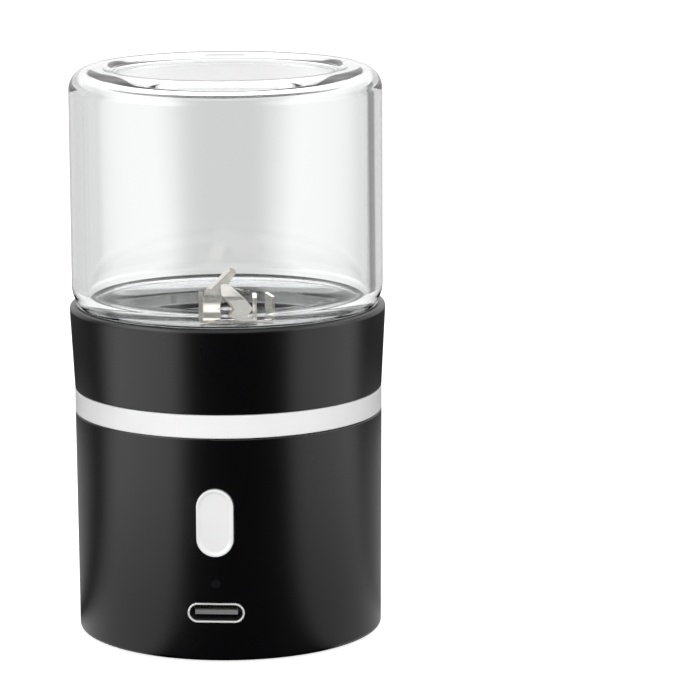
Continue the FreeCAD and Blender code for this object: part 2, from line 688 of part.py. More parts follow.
def commutator():
    low = Z_CAP_TOP + COMMUTATOR_ABOVE_CAP
    high = low + COMMUTATOR_LENGTH
    drum = tube(COMMUTATOR_R, SHAFT_R + SEAT_GAP, low, high)
    depth = (COMMUTATOR_R - SHAFT_R) / 2
    half = COMMUTATOR_SLOT / 2
    slot = block(COMMUTATOR_R - depth, COMMUTATOR_R + depth, -half, half, low, high)
    for number in range(POLES):
        drum = drum.cut(turned(slot, 360 / POLES * number + 180 / POLES))
    return drum


# Cutter
def cutter_hub():
    low = Z_FLOOR + CUTTER_CLEARANCE
    top = Z_NUT + HUB_STUD_OVER
    hub = disc(HUB_FLANGE_R, low, Z_BLADES).fuse(disc(HUB_STUD_R, Z_BLADES, top)).removeSplitter()
    return hub.cut(disc(SHAFT_R + SEAT_GAP, low, top - HUB_CAP))


def bent_sheet(start, low, steps, side, width):
    """A ribbon of sheet that runs along +Y. A step is a length, or a bend's inner radius and angle."""
    under = []
    over = []
    here = (start, low)
    heading = 0.0
    top = (start, low + SHEET)
    for step in steps:
        if isinstance(step, tuple):
            radius, angle = step
            centre = beside(here, heading, radius + SHEET)
            half = heading + angle / 2
            heading += angle
            here = beside(centre, heading, -radius - SHEET)
            under.append((beside(centre, half, -radius - SHEET), here))
            over.append((beside(centre, half, -radius), top))
            top = beside(centre, heading, -radius)
        else:
            ahead = (step * math.cos(math.radians(heading)), step * math.sin(math.radians(heading)))
            here = (here[0] + ahead[0], here[1] + ahead[1])
            under.append(here)
            over.append(top)
            top = (top[0] + ahead[0], top[1] + ahead[1])
    wire = outline((start, low), under + [top] + over[::-1], lambda p: Vector(side, p[0], p[1]))
    return Part.Face(wire).extrude(Vector(width, 0, 0))


def beside(point, heading, distance):
    """The point at a distance to the left of a heading in degrees."""
    a = math.radians(heading)
    return (point[0] - distance * math.sin(a), point[1] + distance * math.cos(a))


def cut_to_front(sheet, low, start, steps):
    """The part of a bent sheet inside an outline that is seen from the front."""
    span = 2 * FLOOR_R
    wire = outline(start, steps, lambda p: Vector(p[0], -span / 2, low + p[1]))
    return sheet.common(Part.Face(wire).extrude(Vector(0, span, 0)))


def on_plane(face, point):
    """The point of a flat face's plane straight behind or before a point seen from the front."""
    normal = face.Surface.Axis
    offset = face.Surface.Position - point
    return Vector(point.x, point.y + offset.dot(normal) / normal.y, point.z)


def ground(panel, low, start, end, outermost):
    """Grinds a bevel along a straight edge of the front outline, on one side of the sheet."""
    first = Vector(start[0], 0, low + start[1])
    last = Vector(end[0], 0, low + end[1])
    middle = (first + last) / 2
    inward = (last - first).cross(Vector(0, 1, 0)).normalize()
    if inward.dot(panel.BoundBox.Center - middle) < 0:
        inward = -inward
    hits = []
    for face in panel.Faces:
        if isinstance(face.Surface, Part.Plane) and abs(face.Surface.Axis.y) > 0.1:
            spot = on_plane(face, middle + inward * CLAW_BEVEL)
            if face.isInside(spot, 1e-4, True):
                hits.append((spot.y, face))
    hits.sort(key=lambda pair: pair[0], reverse=outermost)
    face = hits[0][1]
    normal = face.normalAt(0, 0)
    first = on_plane(face, first)
    along = on_plane(face, last) - first
    across = along.cross(normal).normalize()
    if across.dot(inward) < 0:
        across = -across
    corners = [first + across * CLAW_BEVEL, first - normal * CLAW_BEVEL,
               first + (normal - across) * CLAW_BEVEL]
    return panel.cut(Part.Face(Part.makePolygon(corners + corners[:1])).extrude(along))


def claw(root, steps, shank, curl_r, curl):
    """A claw along +Y: a strip that bends up, a shank, and a curled hook, cut to an outline."""
    side = root[0] - SHEET
    sheet = bent_sheet(CLAW_STRIP[0], Z_CLAWS,
                       [CLAW_STRIP[1] - CLAW_STRIP[0], (CLAW_BEND_R, CLAW_RISE), shank, (curl_r, curl),
                        CLAW_REACH], side, CLAW_REACH)
    return cut_to_front(sheet, Z_CLAWS, (root[0], -SHEET), steps + [(root[1], -SHEET)])


def blade(arms, low):
    """A punched and bent blade: a middle disc with a hole, and its arms."""
    whole = joined([disc(BLADE_HUB_R, low, low + SHEET)] + arms)
    return turned(whole.cut(disc(HUB_STUD_R + BLADE_HOLE_GAP, low, low + SHEET)), CUTTER_TURN)


def claw_blade():
    tall = claw(TALL_ROOT,
                [TALL_BACK, (TALL_BOW, TALL_KNEE), TALL_TIP[0], TALL_TIP[1:], (TALL_HOLLOW, TALL_THROAT)],
                TALL_SHANK, TALL_CURL_R, TALL_CURL)
    tall = ground(tall, Z_CLAWS, TALL_KNEE, TALL_TIP[0], False)
    low = claw(LOW_ROOT, [LOW_KNEE, (LOW_BACK, LOW_TIP[0]), LOW_TIP[1:], LOW_HOLLOW, LOW_THROAT],
               LOW_SHANK, LOW_CURL_R, LOW_CURL)
    low = ground(low, Z_CLAWS, LOW_THROAT, LOW_HOLLOW, True)
    return blade([tall, turned(low, 180)], Z_CLAWS)


def tooth_blade():
    half = TOOTH_WIDTH / 2
    arms = []
    for angle, reach, height in TEETH:
        sheet = bent_sheet(HUB_STUD_R, Z_BLADES, [reach - HUB_STUD_R, (TOOTH_BEND_R, 90.0), height],
                           -half, TOOTH_WIDTH)
        top = SHEET + TOOTH_BEND_R + height
        steps = [(half, -SHEET), (half, top - TOOTH_SLANT), (-half, top)]
        tooth = cut_to_front(sheet, Z_BLADES, (-half, -SHEET), steps)
        arms.append(turned(tooth, angle - 90))
    return blade(arms, Z_BLADES)


def blade_nut():
    top = Z_NUT + NUT_HEIGHT
    corner = NUT_FLATS / math.sqrt(3)
    points = [Vector(x, y, Z_NUT) for x, y in around(corner, range(0, 361, 60))]
    prism = Part.Face(Part.makePolygon(points)).extrude(Vector(0, 0, NUT_HEIGHT))
    crown = spun((0.0, Z_NUT), [(corner, Z_NUT), (corner, top - NUT_CHAMFER),
                                (corner - 2 * NUT_CHAMFER, top), (0.0, top)])
    bore = disc(HUB_STUD_R + BLADE_HOLE_GAP, Z_NUT, Z_NUT + HUB_STUD_OVER + BLADE_HOLE_GAP)
    return turned(prism.common(crown).cut(bore), CUTTER_TURN)


# Housing, ring and base
def trim_ring():
    inner = SPIGOT_R + SPIGOT_GAP
    edge = SEAM_EDGE
    return spun((inner, Z_RING), [
        (HOUSING_R - edge, Z_RING), sweep((HOUSING_R - edge, Z_RING + edge), edge, -90, 0),
        (HOUSING_R, Z_COLLAR - edge), sweep((HOUSING_R - edge, Z_COLLAR - edge), edge, 0, 90),
        (inner, Z_COLLAR)])


def wall_lug(circle, angle, low, high):
    """A screw boss with a web that joins it to the housing's wall."""
    wall = inner_r(low) + HOUSING_WALL / 4
    web = block(circle, wall, -WEB_WIDTH / 2, WEB_WIDTH / 2, low, high)
    return turned(joined([disc(SCREW_BOSS_R, low, high, circle, 0), web]), angle)


def board_rails():
    """Two upright rails inside the wall, each with a slot for an edge of the circuit board."""
    edge = BOARD_WIDTH / 2
    inside = disc(inner_r(Z_COVER_TOP) + HOUSING_WALL / 4, Z_COVER_TOP, Z_COVER_TOP + RAIL_HEIGHT)
    rail = block(edge - RAIL_GRIP, edge + RAIL_THICK, -HOUSING_R, Y_BOARD_BACK + RAIL_GAP + RAIL_THICK,
                 Z_COVER_TOP, Z_COVER_TOP + RAIL_HEIGHT)
    slot = block(edge - RAIL_GRIP, edge + RAIL_GAP, Y_BOARD - RAIL_GAP, Y_BOARD_BACK + RAIL_GAP,
                 Z_COVER_TOP, Z_COVER_TOP + RAIL_HEIGHT)
    rail = rail.cut(slot).common(inside)
    return [rail, rail.mirror(ORIGIN, Vector(1, 0, 0))]


def housing():
    bottom = HOUSING_R - HOUSING_DRAFT
    edge = HOUSING_EDGE
    seam = SEAM_EDGE
    shell = spun((bottom - edge, Z_HOUSING), [
        sweep((bottom - edge, Z_HOUSING + edge), edge, -90, 0),
        (HOUSING_R, Z_RING - seam),
        sweep((HOUSING_R - seam, Z_RING - seam), seam, 0, 90),
        (HOUSING_R - HOUSING_WALL, Z_RING),
        (bottom - HOUSING_WALL, Z_HOUSING)])
    lugs = [wall_lug(COLLAR_SCREW_CIRCLE, a, Z_SPIGOT - LUG_THICK, Z_SPIGOT) for a in SCREW_ANGLES]
    lugs += [wall_lug(COVER_SCREW_CIRCLE, a, Z_COVER_TOP, Z_COVER_TOP + COVER_BOSS_HEIGHT)
             for a in SCREW_ANGLES]
    shell = joined([shell] + lugs + board_rails())
    for x, y in around(COLLAR_SCREW_CIRCLE, SCREW_ANGLES):
        shell = shell.cut(disc(SCREW_R + SCREW_HOLE_GAP, Z_SPIGOT - LUG_THICK, Z_SPIGOT, x, y))
    for x, y in around(COVER_SCREW_CIRCLE, SCREW_ANGLES):
        shell = shell.cut(disc(SCREW_R + SCREW_PILOT_GAP, Z_COVER_TOP, Z_COVER_TOP + COVER_SCREW_LENGTH, x, y))
    front = -HOUSING_R - BUTTON_PROUD
    button = slot_prism(BUTTON_WIDTH + 2 * BUTTON_GAP, BUTTON_HEIGHT + 2 * BUTTON_GAP, BUTTON_Z,
                        front, Y_FLANGE_BACK)
    port = slot_prism(PORT_WIDTH + 2 * PORT_GAP, PORT_HEIGHT + 2 * PORT_GAP, PORT_Z, front, Y_FLANGE_BACK)
    light = along_y(LIGHT_R + LIGHT_GAP, LIGHT_Z, front, Y_FLANGE_BACK)
    return shell.cut(button).cut(port).cut(light)


def along_y(radius, z, y0, y1):
    return Part.makeCylinder(radius, y1 - y0, Vector(0, y0, z), Vector(0, 1, 0))


def base_cover():
    plate = disc(COVER_R, Z_COVER, Z_COVER_TOP)
    middle = (Y_BATTERY_FRONT + Y_BATTERY_BACK) / 2
    near = BATTERY_WIDTH / 2 + BATTERY_SIDE_GAP
    fence = block(near, near + FENCE_THICK, middle - FENCE_LENGTH / 2, middle + FENCE_LENGTH / 2,
                  Z_COVER_TOP, Z_COVER_TOP + FENCE_HEIGHT)
    plate = joined([plate, fence, fence.mirror(ORIGIN, Vector(1, 0, 0))])
    seat = cover_screw_seat()
    for x, y in around(COVER_SCREW_CIRCLE, SCREW_ANGLES):
        plate = plate.cut(disc(SCREW_R + SCREW_HOLE_GAP, Z_COVER, Z_COVER_TOP, x, y))
        plate = plate.cut(disc(SCREW_HEAD_R + SCREW_HOLE_GAP, Z_COVER, seat, x, y))
    return plate.cut(tube(FOOT_OUTER_R + SEAT_GAP, FOOT_INNER_R - SEAT_GAP, Z_COVER, Z_COVER + FOOT_SEAT))


def cover_screw_seat():
    return Z_COVER + SCREW_HEAD_HEIGHT + SCREW_HOLE_GAP


def cover_screws():
    length = COVER_SCREW_LENGTH - SCREW_HOLE_GAP
    return Part.makeCompound([screw(x, y, cover_screw_seat(), length, True)
                              for x, y in around(COVER_SCREW_CIRCLE, SCREW_ANGLES)])


def foot_ring():
    ring = tube(FOOT_OUTER_R, FOOT_INNER_R, 0.0, Z_COVER + FOOT_SEAT)
    return ring.makeFillet(FOOT_EDGE, [e for e in ring.Edges if abs(e.CenterOfMass.z) < 1e-6])


# Battery
def battery_cell():
    half = BATTERY_WIDTH / 2
    cell = block(-half, half, Y_BATTERY_FRONT, Y_BATTERY_BACK, Z_BATTERY, Z_BATTERY_TOP)
    return cell.makeFillet(BATTERY_EDGE, cell.Edges)


def battery_pad():
    half = BATTERY_WIDTH / 2 - BATTERY_EDGE
    return block(-half, half, Y_BATTERY_FRONT + BATTERY_EDGE, Y_BATTERY_BACK - BATTERY_EDGE,
                 Z_COVER_TOP, Z_BATTERY)


# Button and circuit board
def dish(face):
    """The hollow in the button's face, with a slope all round."""
    wires = []
    for inset, y in ((BUTTON_RIM, face), (BUTTON_RIM + DISH_SLOPE, face + DISH_DEPTH)):
        wires.append(slot_wire(BUTTON_WIDTH - 2 * inset, BUTTON_HEIGHT - 2 * inset, BUTTON_Z, y))
    return Part.makeLoft(wires, True, True)


def button_cap():
    face = -housing_r(BUTTON_Z) - BUTTON_PROUD
    cap = slot_prism(BUTTON_WIDTH, BUTTON_HEIGHT, BUTTON_Z, face, Y_FLANGE)
    cap = cap.makeFillet(BUTTON_ROUND, [e for e in cap.Edges if abs(e.CenterOfMass.y - face) < 1e-6])
    cap = cap.cut(dish(face))
    flange = slot_prism(BUTTON_WIDTH + 2 * BUTTON_FLANGE, BUTTON_HEIGHT + 2 * BUTTON_FLANGE, BUTTON_Z,
                        Y_FLANGE, Y_FLANGE_BACK)
    return joined([cap, flange])


def switch_plunger():
    return along_y(PLUNGER_R, BUTTON_Z, Y_FLANGE_BACK, Y_SWITCH + PLUNGER_IN)


def switch_block(y0, y1):
    half = SWITCH_SIZE / 2
    bore = along_y(PLUNGER_R + PLUNGER_GAP, BUTTON_Z, Y_SWITCH,
                   Y_SWITCH + PLUNGER_IN + BUTTON_TRAVEL + BUTTON_FLANGE_GAP)
    return block(-half, half, y0, y1, BUTTON_Z - half, BUTTON_Z + half).cut(bore)


def switch_plate():
    return switch_block(Y_SWITCH, Y_SWITCH + SWITCH_PLATE)


def switch_body():
    return switch_block(Y_SWITCH + SWITCH_PLATE, Y_BOARD)


def circuit_board():
    half = BOARD_WIDTH / 2
    return block(-half, half, Y_BOARD, Y_BOARD_BACK, Z_BOARD, Z_BOARD_TOP)


def board_chips():
    chips = []
    for (wide, tall, thick), (x, drop) in zip(CHIP_SIZES, CHIP_PLACES):
        z = Z_BOARD_TOP - drop
        chips.append(block(x - wide / 2, x + wide / 2, Y_BOARD_BACK, Y_BOARD_BACK + thick,
                           z - tall / 2, z + tall / 2))
    return Part.makeCompound(chips)


def charge_led():
    half = LED_SIZE / 2
    return block(-half, half, Y_BOARD - LED_HEIGHT, Y_BOARD, LIGHT_Z - half, LIGHT_Z + half)


def light_pipe():
    rod = along_y(LIGHT_R, LIGHT_Z, -housing_r(LIGHT_Z), Y_BOARD - LED_HEIGHT - LED_GAP)
    behind = -math.sqrt(inner_r(LIGHT_Z) ** 2 - LIGHT_FLANGE_R ** 2) + LIGHT_GAP
    return joined([rod, along_y(LIGHT_FLANGE_R, LIGHT_Z, behind, behind + LIGHT_FLANGE_THICK)])


# Charge socket
def port_bore(gap, y0, y1):
    inside = 2 * (PORT_WALL + gap)
    return slot_prism(PORT_WIDTH - inside, PORT_HEIGHT - inside, PORT_Z, y0, y1)


def socket_shell():
    return slot_prism(PORT_WIDTH, PORT_HEIGHT, PORT_Z, Y_PORT, Y_BOARD).cut(port_bore(0.0, Y_PORT, Y_BOARD))


def socket_tongue():
    back = port_bore(SEAT_GAP, Y_BOARD - PORT_BACK, Y_BOARD)
    half = TONGUE_WIDTH / 2
    tongue = block(-half, half, Y_PORT + TONGUE_SETBACK, Y_BOARD - PORT_BACK,
                   PORT_Z - TONGUE_THICK / 2, PORT_Z + TONGUE_THICK / 2)
    return joined([back, tongue])


# Leads
def lead(points):
    """A round insulated lead along straight runs with arcs between them."""
    spots = [Vector(*p) for p in points]
    edges = []
    here = spots[0]
    for before, corner, after in zip(spots, spots[1:], spots[2:]):
        back = (before - corner).normalize()
        on = (after - corner).normalize()
        cut = 0.45 * min((before - corner).Length, (after - corner).Length)
        half = back.getAngle(on) / 2
        radius = cut * math.tan(half)
        middle = corner + (back + on).normalize() * (radius / math.sin(half) - radius)
        start = corner + back * cut
        end = corner + on * cut
        edges.append(Part.LineSegment(here, start).toShape())
        edges.append(Part.Arc(start, middle, end).toShape())
        here = end
    edges.append(Part.LineSegment(here, spots[-1]).toShape())
    section = Part.Wire(Part.makeCircle(LEAD_R, spots[0], spots[1] - spots[0]))
    return Part.Wire(edges).makePipeShell([section], True, False)


def battery_leads():
    leads = []
    level = (Z_BATTERY + Z_BATTERY_TOP) / 2 + BATTERY_EDGE
    middle = (Y_BATTERY_FRONT + Y_BOARD_BACK) / 2
    for x in (-BATTERY_LEAD_X, BATTERY_LEAD_X):
        leads.append(lead([(x, Y_BATTERY_FRONT, level), (x, middle, level), (x, middle, BATTERY_LEAD_Z),
                           (x, Y_BOARD_BACK, BATTERY_LEAD_Z)]))
    return Part.makeCompound(leads)


def motor_leads():
    leads = []
    level = Z_MOTOR - TERMINAL_REACH / 2
    behind = Y_BOARD_BACK + MOTOR_LEAD_BEHIND
    for x in (-TERMINAL_CIRCLE, TERMINAL_CIRCLE):
        leads.append(lead([(x, -TERMINAL_WIDTH / 2, level), (x, behind, level), (x, behind, MOTOR_LEAD_Z),
                           (x, Y_BOARD_BACK, MOTOR_LEAD_Z)]))
    return Part.makeCompound(leads)


PIECES = (
    glass_jar, jar_gasket, collar, shaft_seal, trim_ring, housing, base_cover, foot_ring,
    cover_screws, collar_screws, bracket_screws, motor_screws, motor_bracket,
    motor_can, motor_end_cap, motor_terminals, motor_brushes, front_bush, rear_bush, motor_magnets,
    motor_shaft, rotor_core, rotor_windings, commutator,
    cutter_hub, tooth_blade, claw_blade, blade_nut,
    button_cap, switch_plunger, switch_plate, switch_body, circuit_board, board_chips,
    charge_led, light_pipe, socket_shell, socket_tongue,
    battery_cell, battery_pad, battery_leads, motor_leads)

os.makedirs("parts", exist_ok=True)
for piece in PIECES:
    piece().exportStep("parts/" + piece.__name__ + ".step")
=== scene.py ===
import math

import bmesh
import bpy
from bpy.props import FloatProperty, FloatVectorProperty, IntProperty, PointerProperty
from mathutils import Euler, Matrix, Vector


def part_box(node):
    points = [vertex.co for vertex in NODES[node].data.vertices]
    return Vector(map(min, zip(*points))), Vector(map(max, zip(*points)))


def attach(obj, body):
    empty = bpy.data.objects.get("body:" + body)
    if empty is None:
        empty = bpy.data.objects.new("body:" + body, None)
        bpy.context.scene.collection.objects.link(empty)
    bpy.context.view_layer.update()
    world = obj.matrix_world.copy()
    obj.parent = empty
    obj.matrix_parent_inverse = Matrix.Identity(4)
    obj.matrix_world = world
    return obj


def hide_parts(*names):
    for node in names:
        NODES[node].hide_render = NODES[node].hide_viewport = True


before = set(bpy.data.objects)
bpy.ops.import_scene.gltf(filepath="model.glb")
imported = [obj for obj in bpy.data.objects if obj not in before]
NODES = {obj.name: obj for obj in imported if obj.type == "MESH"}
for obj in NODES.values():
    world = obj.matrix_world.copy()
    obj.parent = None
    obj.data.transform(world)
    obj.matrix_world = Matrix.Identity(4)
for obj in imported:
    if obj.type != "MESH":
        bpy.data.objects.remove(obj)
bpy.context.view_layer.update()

bl_info = {
    "name": "Glass-Jar Grinder Looks",
    "version": (1, 0, 0),
    "blender": (4, 5, 0),
    "location": "View3D > Sidebar > Grinder",
    "description": "Gives the packed grinder its glass, plastics, metals, small parts and studio",
    "category": "Object",
}

JAR_LOW, JAR_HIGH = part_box("glass_jar")
RIM_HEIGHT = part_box("collar")[1].z
TONGUE_LOW, TONGUE_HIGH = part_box("socket_tongue")
SHELL_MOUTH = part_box("socket_shell")[0].y
SHOULDER_ABOVE_RIM = 0.0031


# Sizes and colours that a user would change

def length(name, description, default):
    return FloatProperty(name=name, description=description, default=default,
                         min=0.0, unit="LENGTH", precision=5)


def colour(name, description, default):
    return FloatVectorProperty(name=name, description=description, default=default,
                               size=3, min=0.0, max=1.0, subtype="COLOR")


class GrinderSizes(bpy.types.PropertyGroup):
    jar_radius: length("Jar radius", "Outer radius of the glass", JAR_HIGH.x)
    jar_top: length("Jar top", "Height of the closed end above the table", JAR_HIGH.z)
    jar_lip: length("Jar lip", "Height of the lip that stands on the gasket", JAR_LOW.z)
    jar_wall: length("Jar wall", "Thickness of the glass", 0.0023)
    jar_end: length("Closed end", "Thickness of the closed end", 0.0020)
    jar_top_round: length("Top round", "Rounding of the closed end's edge", 0.0036)
    jar_shoulder: length("Shoulder height", "Height at which the wall starts to curve in",
                         RIM_HEIGHT + SHOULDER_ABOVE_RIM)
    jar_shoulder_round: length("Shoulder round", "Rounding of the shoulder", 0.005)
    neck_step: length("Neck step", "How much smaller the neck's radius is than the jar's", 0.00295)
    neck_round: length("Neck round", "Hollow rounding between shoulder and neck", 0.0015)
    heel_drop: length("Heel drop", "How much lower the shoulder is inside than outside", 0.0012)
    heel_round: length("Heel round", "Rounding of the shoulder inside", 0.002)
    heel_neck_round: length("Heel neck round", "Rounding from the heel into the neck's bore", 0.0025)
    lip_round: length("Lip round", "Rounding of the lip", 0.0007)
    punt_radius: length("Punt radius", "Radius of the sunk middle of the closed end", 0.0165)
    punt_depth: length("Punt depth", "Depth of the sunk middle", 0.001)
    punt_slope: length("Punt slope", "Width of the slope into the sunk middle", 0.003)
    edge_soften: length("Softened edge", "Width of the worn bevel on blades and nut", 0.00007)
    mouth_soften: length("Softened mouth", "Width of the rolled bevel on the socket's shell", 0.00012)
    contact_pitch: length("Contact pitch", "Distance between the socket's contacts", 0.0005)
    contact_width: length("Contact width", "Width of one contact", 0.00026)
    contact_length: length("Contact length", "Length of one contact", 0.0030)
    contact_thick: length("Contact thickness", "Thickness of one contact", 0.00006)
    contact_setback: length("Contact setback", "From the tongue's front to the contacts' middle", 0.0021)
    contact_lift: length("Contact lift", "From the tongue's middle to the contacts' middle", 0.00037)
    contact_count: IntProperty(name="Contacts", description="Contacts on each face of the tongue",
                               default=12, min=1)


class GrinderColours(bpy.types.PropertyGroup):
    black_plastic: colour("Black plastic", "Housing and collar", (0.0021, 0.0020, 0.0027))
    well_lining: colour("Well lining", "Polished lining of the well under the jar", (0.46, 0.46, 0.465))
    white_trim: colour("White trim", "Ring between housing and collar", (0.92, 0.922, 0.925))
    button_face: colour("Button", "Push button", (0.93, 0.932, 0.935))
    glass_tint: colour("Glass", "Body colour of the jar", (0.985, 0.993, 0.990))
    blade_steel: colour("Blade steel", "Ground faces of the cutter", (0.80, 0.77, 0.72))
    bright_steel: colour("Bright steel", "Nut, hub, screws and motor", (0.64, 0.645, 0.65))
    socket_plating: colour("Socket plating", "Mouth of the charge socket", (0.93, 0.93, 0.935))
    socket_insulator: colour("Socket insulator", "Tongue of the charge socket", (0.21, 0.212, 0.215))
    black_rubber: colour("Black rubber", "Foot ring and seals", (0.012, 0.012, 0.012))
    matt_black: colour("Matt black", "Base cover and inner mouldings", (0.018, 0.018, 0.019))
    floor: colour("Floor", "Plain studio floor", (0.86, 0.86, 0.86))


class GrinderStudio(bpy.types.PropertyGroup):
    camera_distance: length("Camera distance", "From the jar's axis, along the floor", 0.5907)
    camera_height: length("Camera height", "Above the table", 0.1592)
    camera_azimuth: FloatProperty(name="Camera azimuth", description="Round the jar's axis, from the front",
                                  default=math.radians(5.45), subtype="ANGLE")
    camera_yaw: FloatProperty(name="Camera yaw", description="Turn to the right of the jar's axis",
                              default=math.radians(1.85), subtype="ANGLE")
    camera_pitch: FloatProperty(name="Camera pitch", description="Tilt below the horizon",
                                default=math.radians(10.912), subtype="ANGLE")
    camera_roll: FloatProperty(name="Camera roll", description="Turn about the line of sight",
                               default=math.radians(-0.25), subtype="ANGLE")
    camera_lens: FloatProperty(name="Lens", description="Focal length in millimetres",
                               default=193.5, unit="CAMERA")
    grey_card: FloatProperty(name="Grey card", description="How bright the strip seen through the jar is",
                             default=0.72, min=0.0, max=1.0, subtype="FACTOR")
    side_panel: FloatProperty(name="Side panels", description="How bright the side panels are in reflections",
                              default=2.3, min=0.0)
    top_power: FloatProperty(name="Top lamp", description="Power of the lamp overhead",
                             default=1.2, unit="POWER")
    front_power: FloatProperty(name="Front lamp", description="Power of the high front lamp",
                               default=2.9, unit="POWER")


# Shader maths

BRIGHTEST = 4.0             # the most light that a glow gives
CLOUD = 55.0                # uneven gloss of a moulding, in waves per metre
GRAIN = 5200.0              # its grain
GRAIN_DEPTH = 0.00003
LINING_EDGE = 0.0003        # width over which the well's lining passes into the moulding
LINING_INSET = 0.0006       # the lining ends this far inside the jar's radius
STREAK = 1500.0             # grinding lines
STREAK_DEPTH = 0.00002


class Level:
    """A value that varies over a surface. Arithmetic on it adds Math nodes."""

    def __init__(self, finish, socket):
        self.finish = finish
        self.socket = socket

    def maths(self, operation, first, second):
        return self.finish.node("ShaderNodeMath", {"operation": operation}, {0: first, 1: second})

    def __add__(self, other):
        return self.maths("ADD", self, other)

    def __radd__(self, other):
        return self.maths("ADD", other, self)

    def __sub__(self, other):
        return self.maths("SUBTRACT", self, other)

    def __rsub__(self, other):
        return self.maths("SUBTRACT", other, self)

    def __mul__(self, other):
        return self.maths("MULTIPLY", self, other)


class Finish:
    """A procedural material, or the world, that is being put together."""

    def __init__(self, name, world=False):
        self.holder = bpy.data.worlds.new(name) if world else bpy.data.materials.new(name)
        self.holder.use_nodes = True
        self.tree = self.holder.node_tree
        self.tree.nodes.clear()

    def node(self, kind, settings=None, sockets=None, output=0):
        """Adds a node with its settings, then the values or links of its sockets, and gives one output."""
        node = self.tree.nodes.new(kind)
        for key, value in (settings or {}).items():
            setattr(node, key, value)
        for key, value in (sockets or {}).items():
            if isinstance(value, Level):
                self.tree.links.new(value.socket, node.inputs[key])
            else:
                node.inputs[key].default_value = value
        return Level(self, node.outputs[output]) if node.outputs else None

    def spot(self, stretch=(1.0, 1.0, 1.0), turn=(0.0, 0.0, 0.0)):
        """The place on the object, in metres, stretched and turned for a pattern."""
        place = self.node("ShaderNodeTexCoord", output="Object")
        return self.node("ShaderNodeMapping", {"vector_type": "POINT"},
                         {"Vector": place, "Rotation": turn, "Scale": stretch})

    def noise(self, scale, detail=2.0, stretch=(1.0, 1.0, 1.0), turn=(0.0, 0.0, 0.0)):
        return self.node("ShaderNodeTexNoise", None,
                         {"Vector": self.spot(stretch, turn), "Scale": scale, "Detail": detail})

    def part(self, vector, axis):
        """One coordinate of a vector: X, Y or Z."""
        return self.node("ShaderNodeSeparateXYZ", None, {"Vector": vector}, axis)

    def reach(self, vector):
        """The length of a vector."""
        return self.node("ShaderNodeVectorMath", {"operation": "LENGTH"}, {0: vector}, "Value")

    def moulded(self, shade):
        """What mouldings share: their uneven gloss, their grain and a trace of wear in the colour."""
        cloud = self.noise(CLOUD, 3.0)
        grain = self.noise(GRAIN)
        return cloud, grain, self.mix(cloud, scaled(shade, 0.86), scaled(shade, 1.12))

    def step(self, value, low, high):
        """A smooth rise from 0 at low to 1 at high."""
        return self.node("ShaderNodeMapRange", {"interpolation_type": "SMOOTHSTEP"},
                         {"Value": value, "From Min": low, "From Max": high})

    def mix(self, factor, first, second):
        """One colour passing into another. A mix node's sockets for colours have no names of their own."""
        return self.node("ShaderNodeMix", {"data_type": "RGBA"},
                         {0: factor, 6: rgba(first), 7: rgba(second)}, output=2)

    def bump(self, height, strength, distance):
        return self.node("ShaderNodeBump", None,
                         {"Height": height, "Strength": strength, "Distance": distance})

    def body(self, **sockets):
        """The Principled shader, by its sockets' names with underscores for spaces."""
        named = {key.replace("_", " "): value for key, value in sockets.items()}
        return self.node("ShaderNodeBsdfPrincipled", None, named)

    def glow(self, kind, level):
        """An Emission or Background shader of a neutral light whose level varies up to BRIGHTEST."""
        shade = self.mix(level * (1.0 / BRIGHTEST), (0.0, 0.0, 0.0), (BRIGHTEST, BRIGHTEST, BRIGHTEST))
        return self.node(kind, None, {"Color": shade})

    def done(self, shader, output="ShaderNodeOutputMaterial"):
        self.node(output, None, {"Surface": shader})
        return self.holder


def rgba(shade):
    return shade if isinstance(shade, Level) else (*shade, 1.0)


def scaled(shade, amount):
    return tuple(min(1.0, part * amount) for part in shade)


# Finishes

def clear_glass(tint):
    """Thick blown glass: faint wash marks in its gloss, and shadows that let light through."""
    f = Finish("clear_glass")
    marks = f.noise(90.0, 3.0, (1.0, 1.0, 0.25))
    body = f.body(Base_Color=(*tint, 1.0), Roughness=marks * 0.012, IOR=1.5, Transmission_Weight=1.0)
    passing = f.node("ShaderNodeBsdfTransparent", None, {"Color": (0.93, 0.94, 0.94, 1.0)})
    return f.done(by_ray(f, body, {"Is Shadow Ray": passing}))


def satin_moulding(name, shade, rough, grain, gloss=0.35, coat=0.0):
    """Moulded plastic: fine grain, slightly uneven gloss and a trace of wear in its colour."""
    f = Finish(name)
    cloud, fine, tone = f.moulded(shade)
    return f.done(f.body(Base_Color=tone, Roughness=cloud * 0.06 + (rough - 0.03), Specular_IOR_Level=gloss,
                         Coat_Weight=coat, Coat_Roughness=0.06, Normal=f.bump(fine, grain, GRAIN_DEPTH)))


def lined_well(name, shade, lining, rough, polish, well_radius):
    """Black moulding that is satin outside, with the well where the jar stands lined in polished steel."""
    f = Finish(name)
    cloud, fine, tone = f.moulded(shade)
    outside = f.step(f.reach(f.spot((1.0, 1.0, 0.0))), well_radius - LINING_EDGE, well_radius)
    level = outside * (rough - polish) + cloud * 0.06 + (polish - 0.03)
    return f.done(f.body(Base_Color=f.mix(outside, lining, tone), Roughness=level, Metallic=1.0 - outside,
                         Specular_IOR_Level=0.5, Normal=f.bump(fine * outside, 0.05, GRAIN_DEPTH)))


def ground_steel(name, shade, rough, lines, turn, metallic=1.0):
    """Steel with fine grinding lines in one direction."""
    f = Finish(name)
    streak = f.noise(STREAK, 3.0, (1.0, 0.06, 1.0), turn)
    cloud = f.noise(160.0)
    tone = f.mix(streak, scaled(shade, 0.86), scaled(shade, 1.1))
    level = streak * 0.12 + cloud * 0.08 + (rough - 0.1)
    return f.done(f.body(Base_Color=tone, Metallic=metallic, Roughness=level,
                         Normal=f.bump(streak, lines, STREAK_DEPTH)))


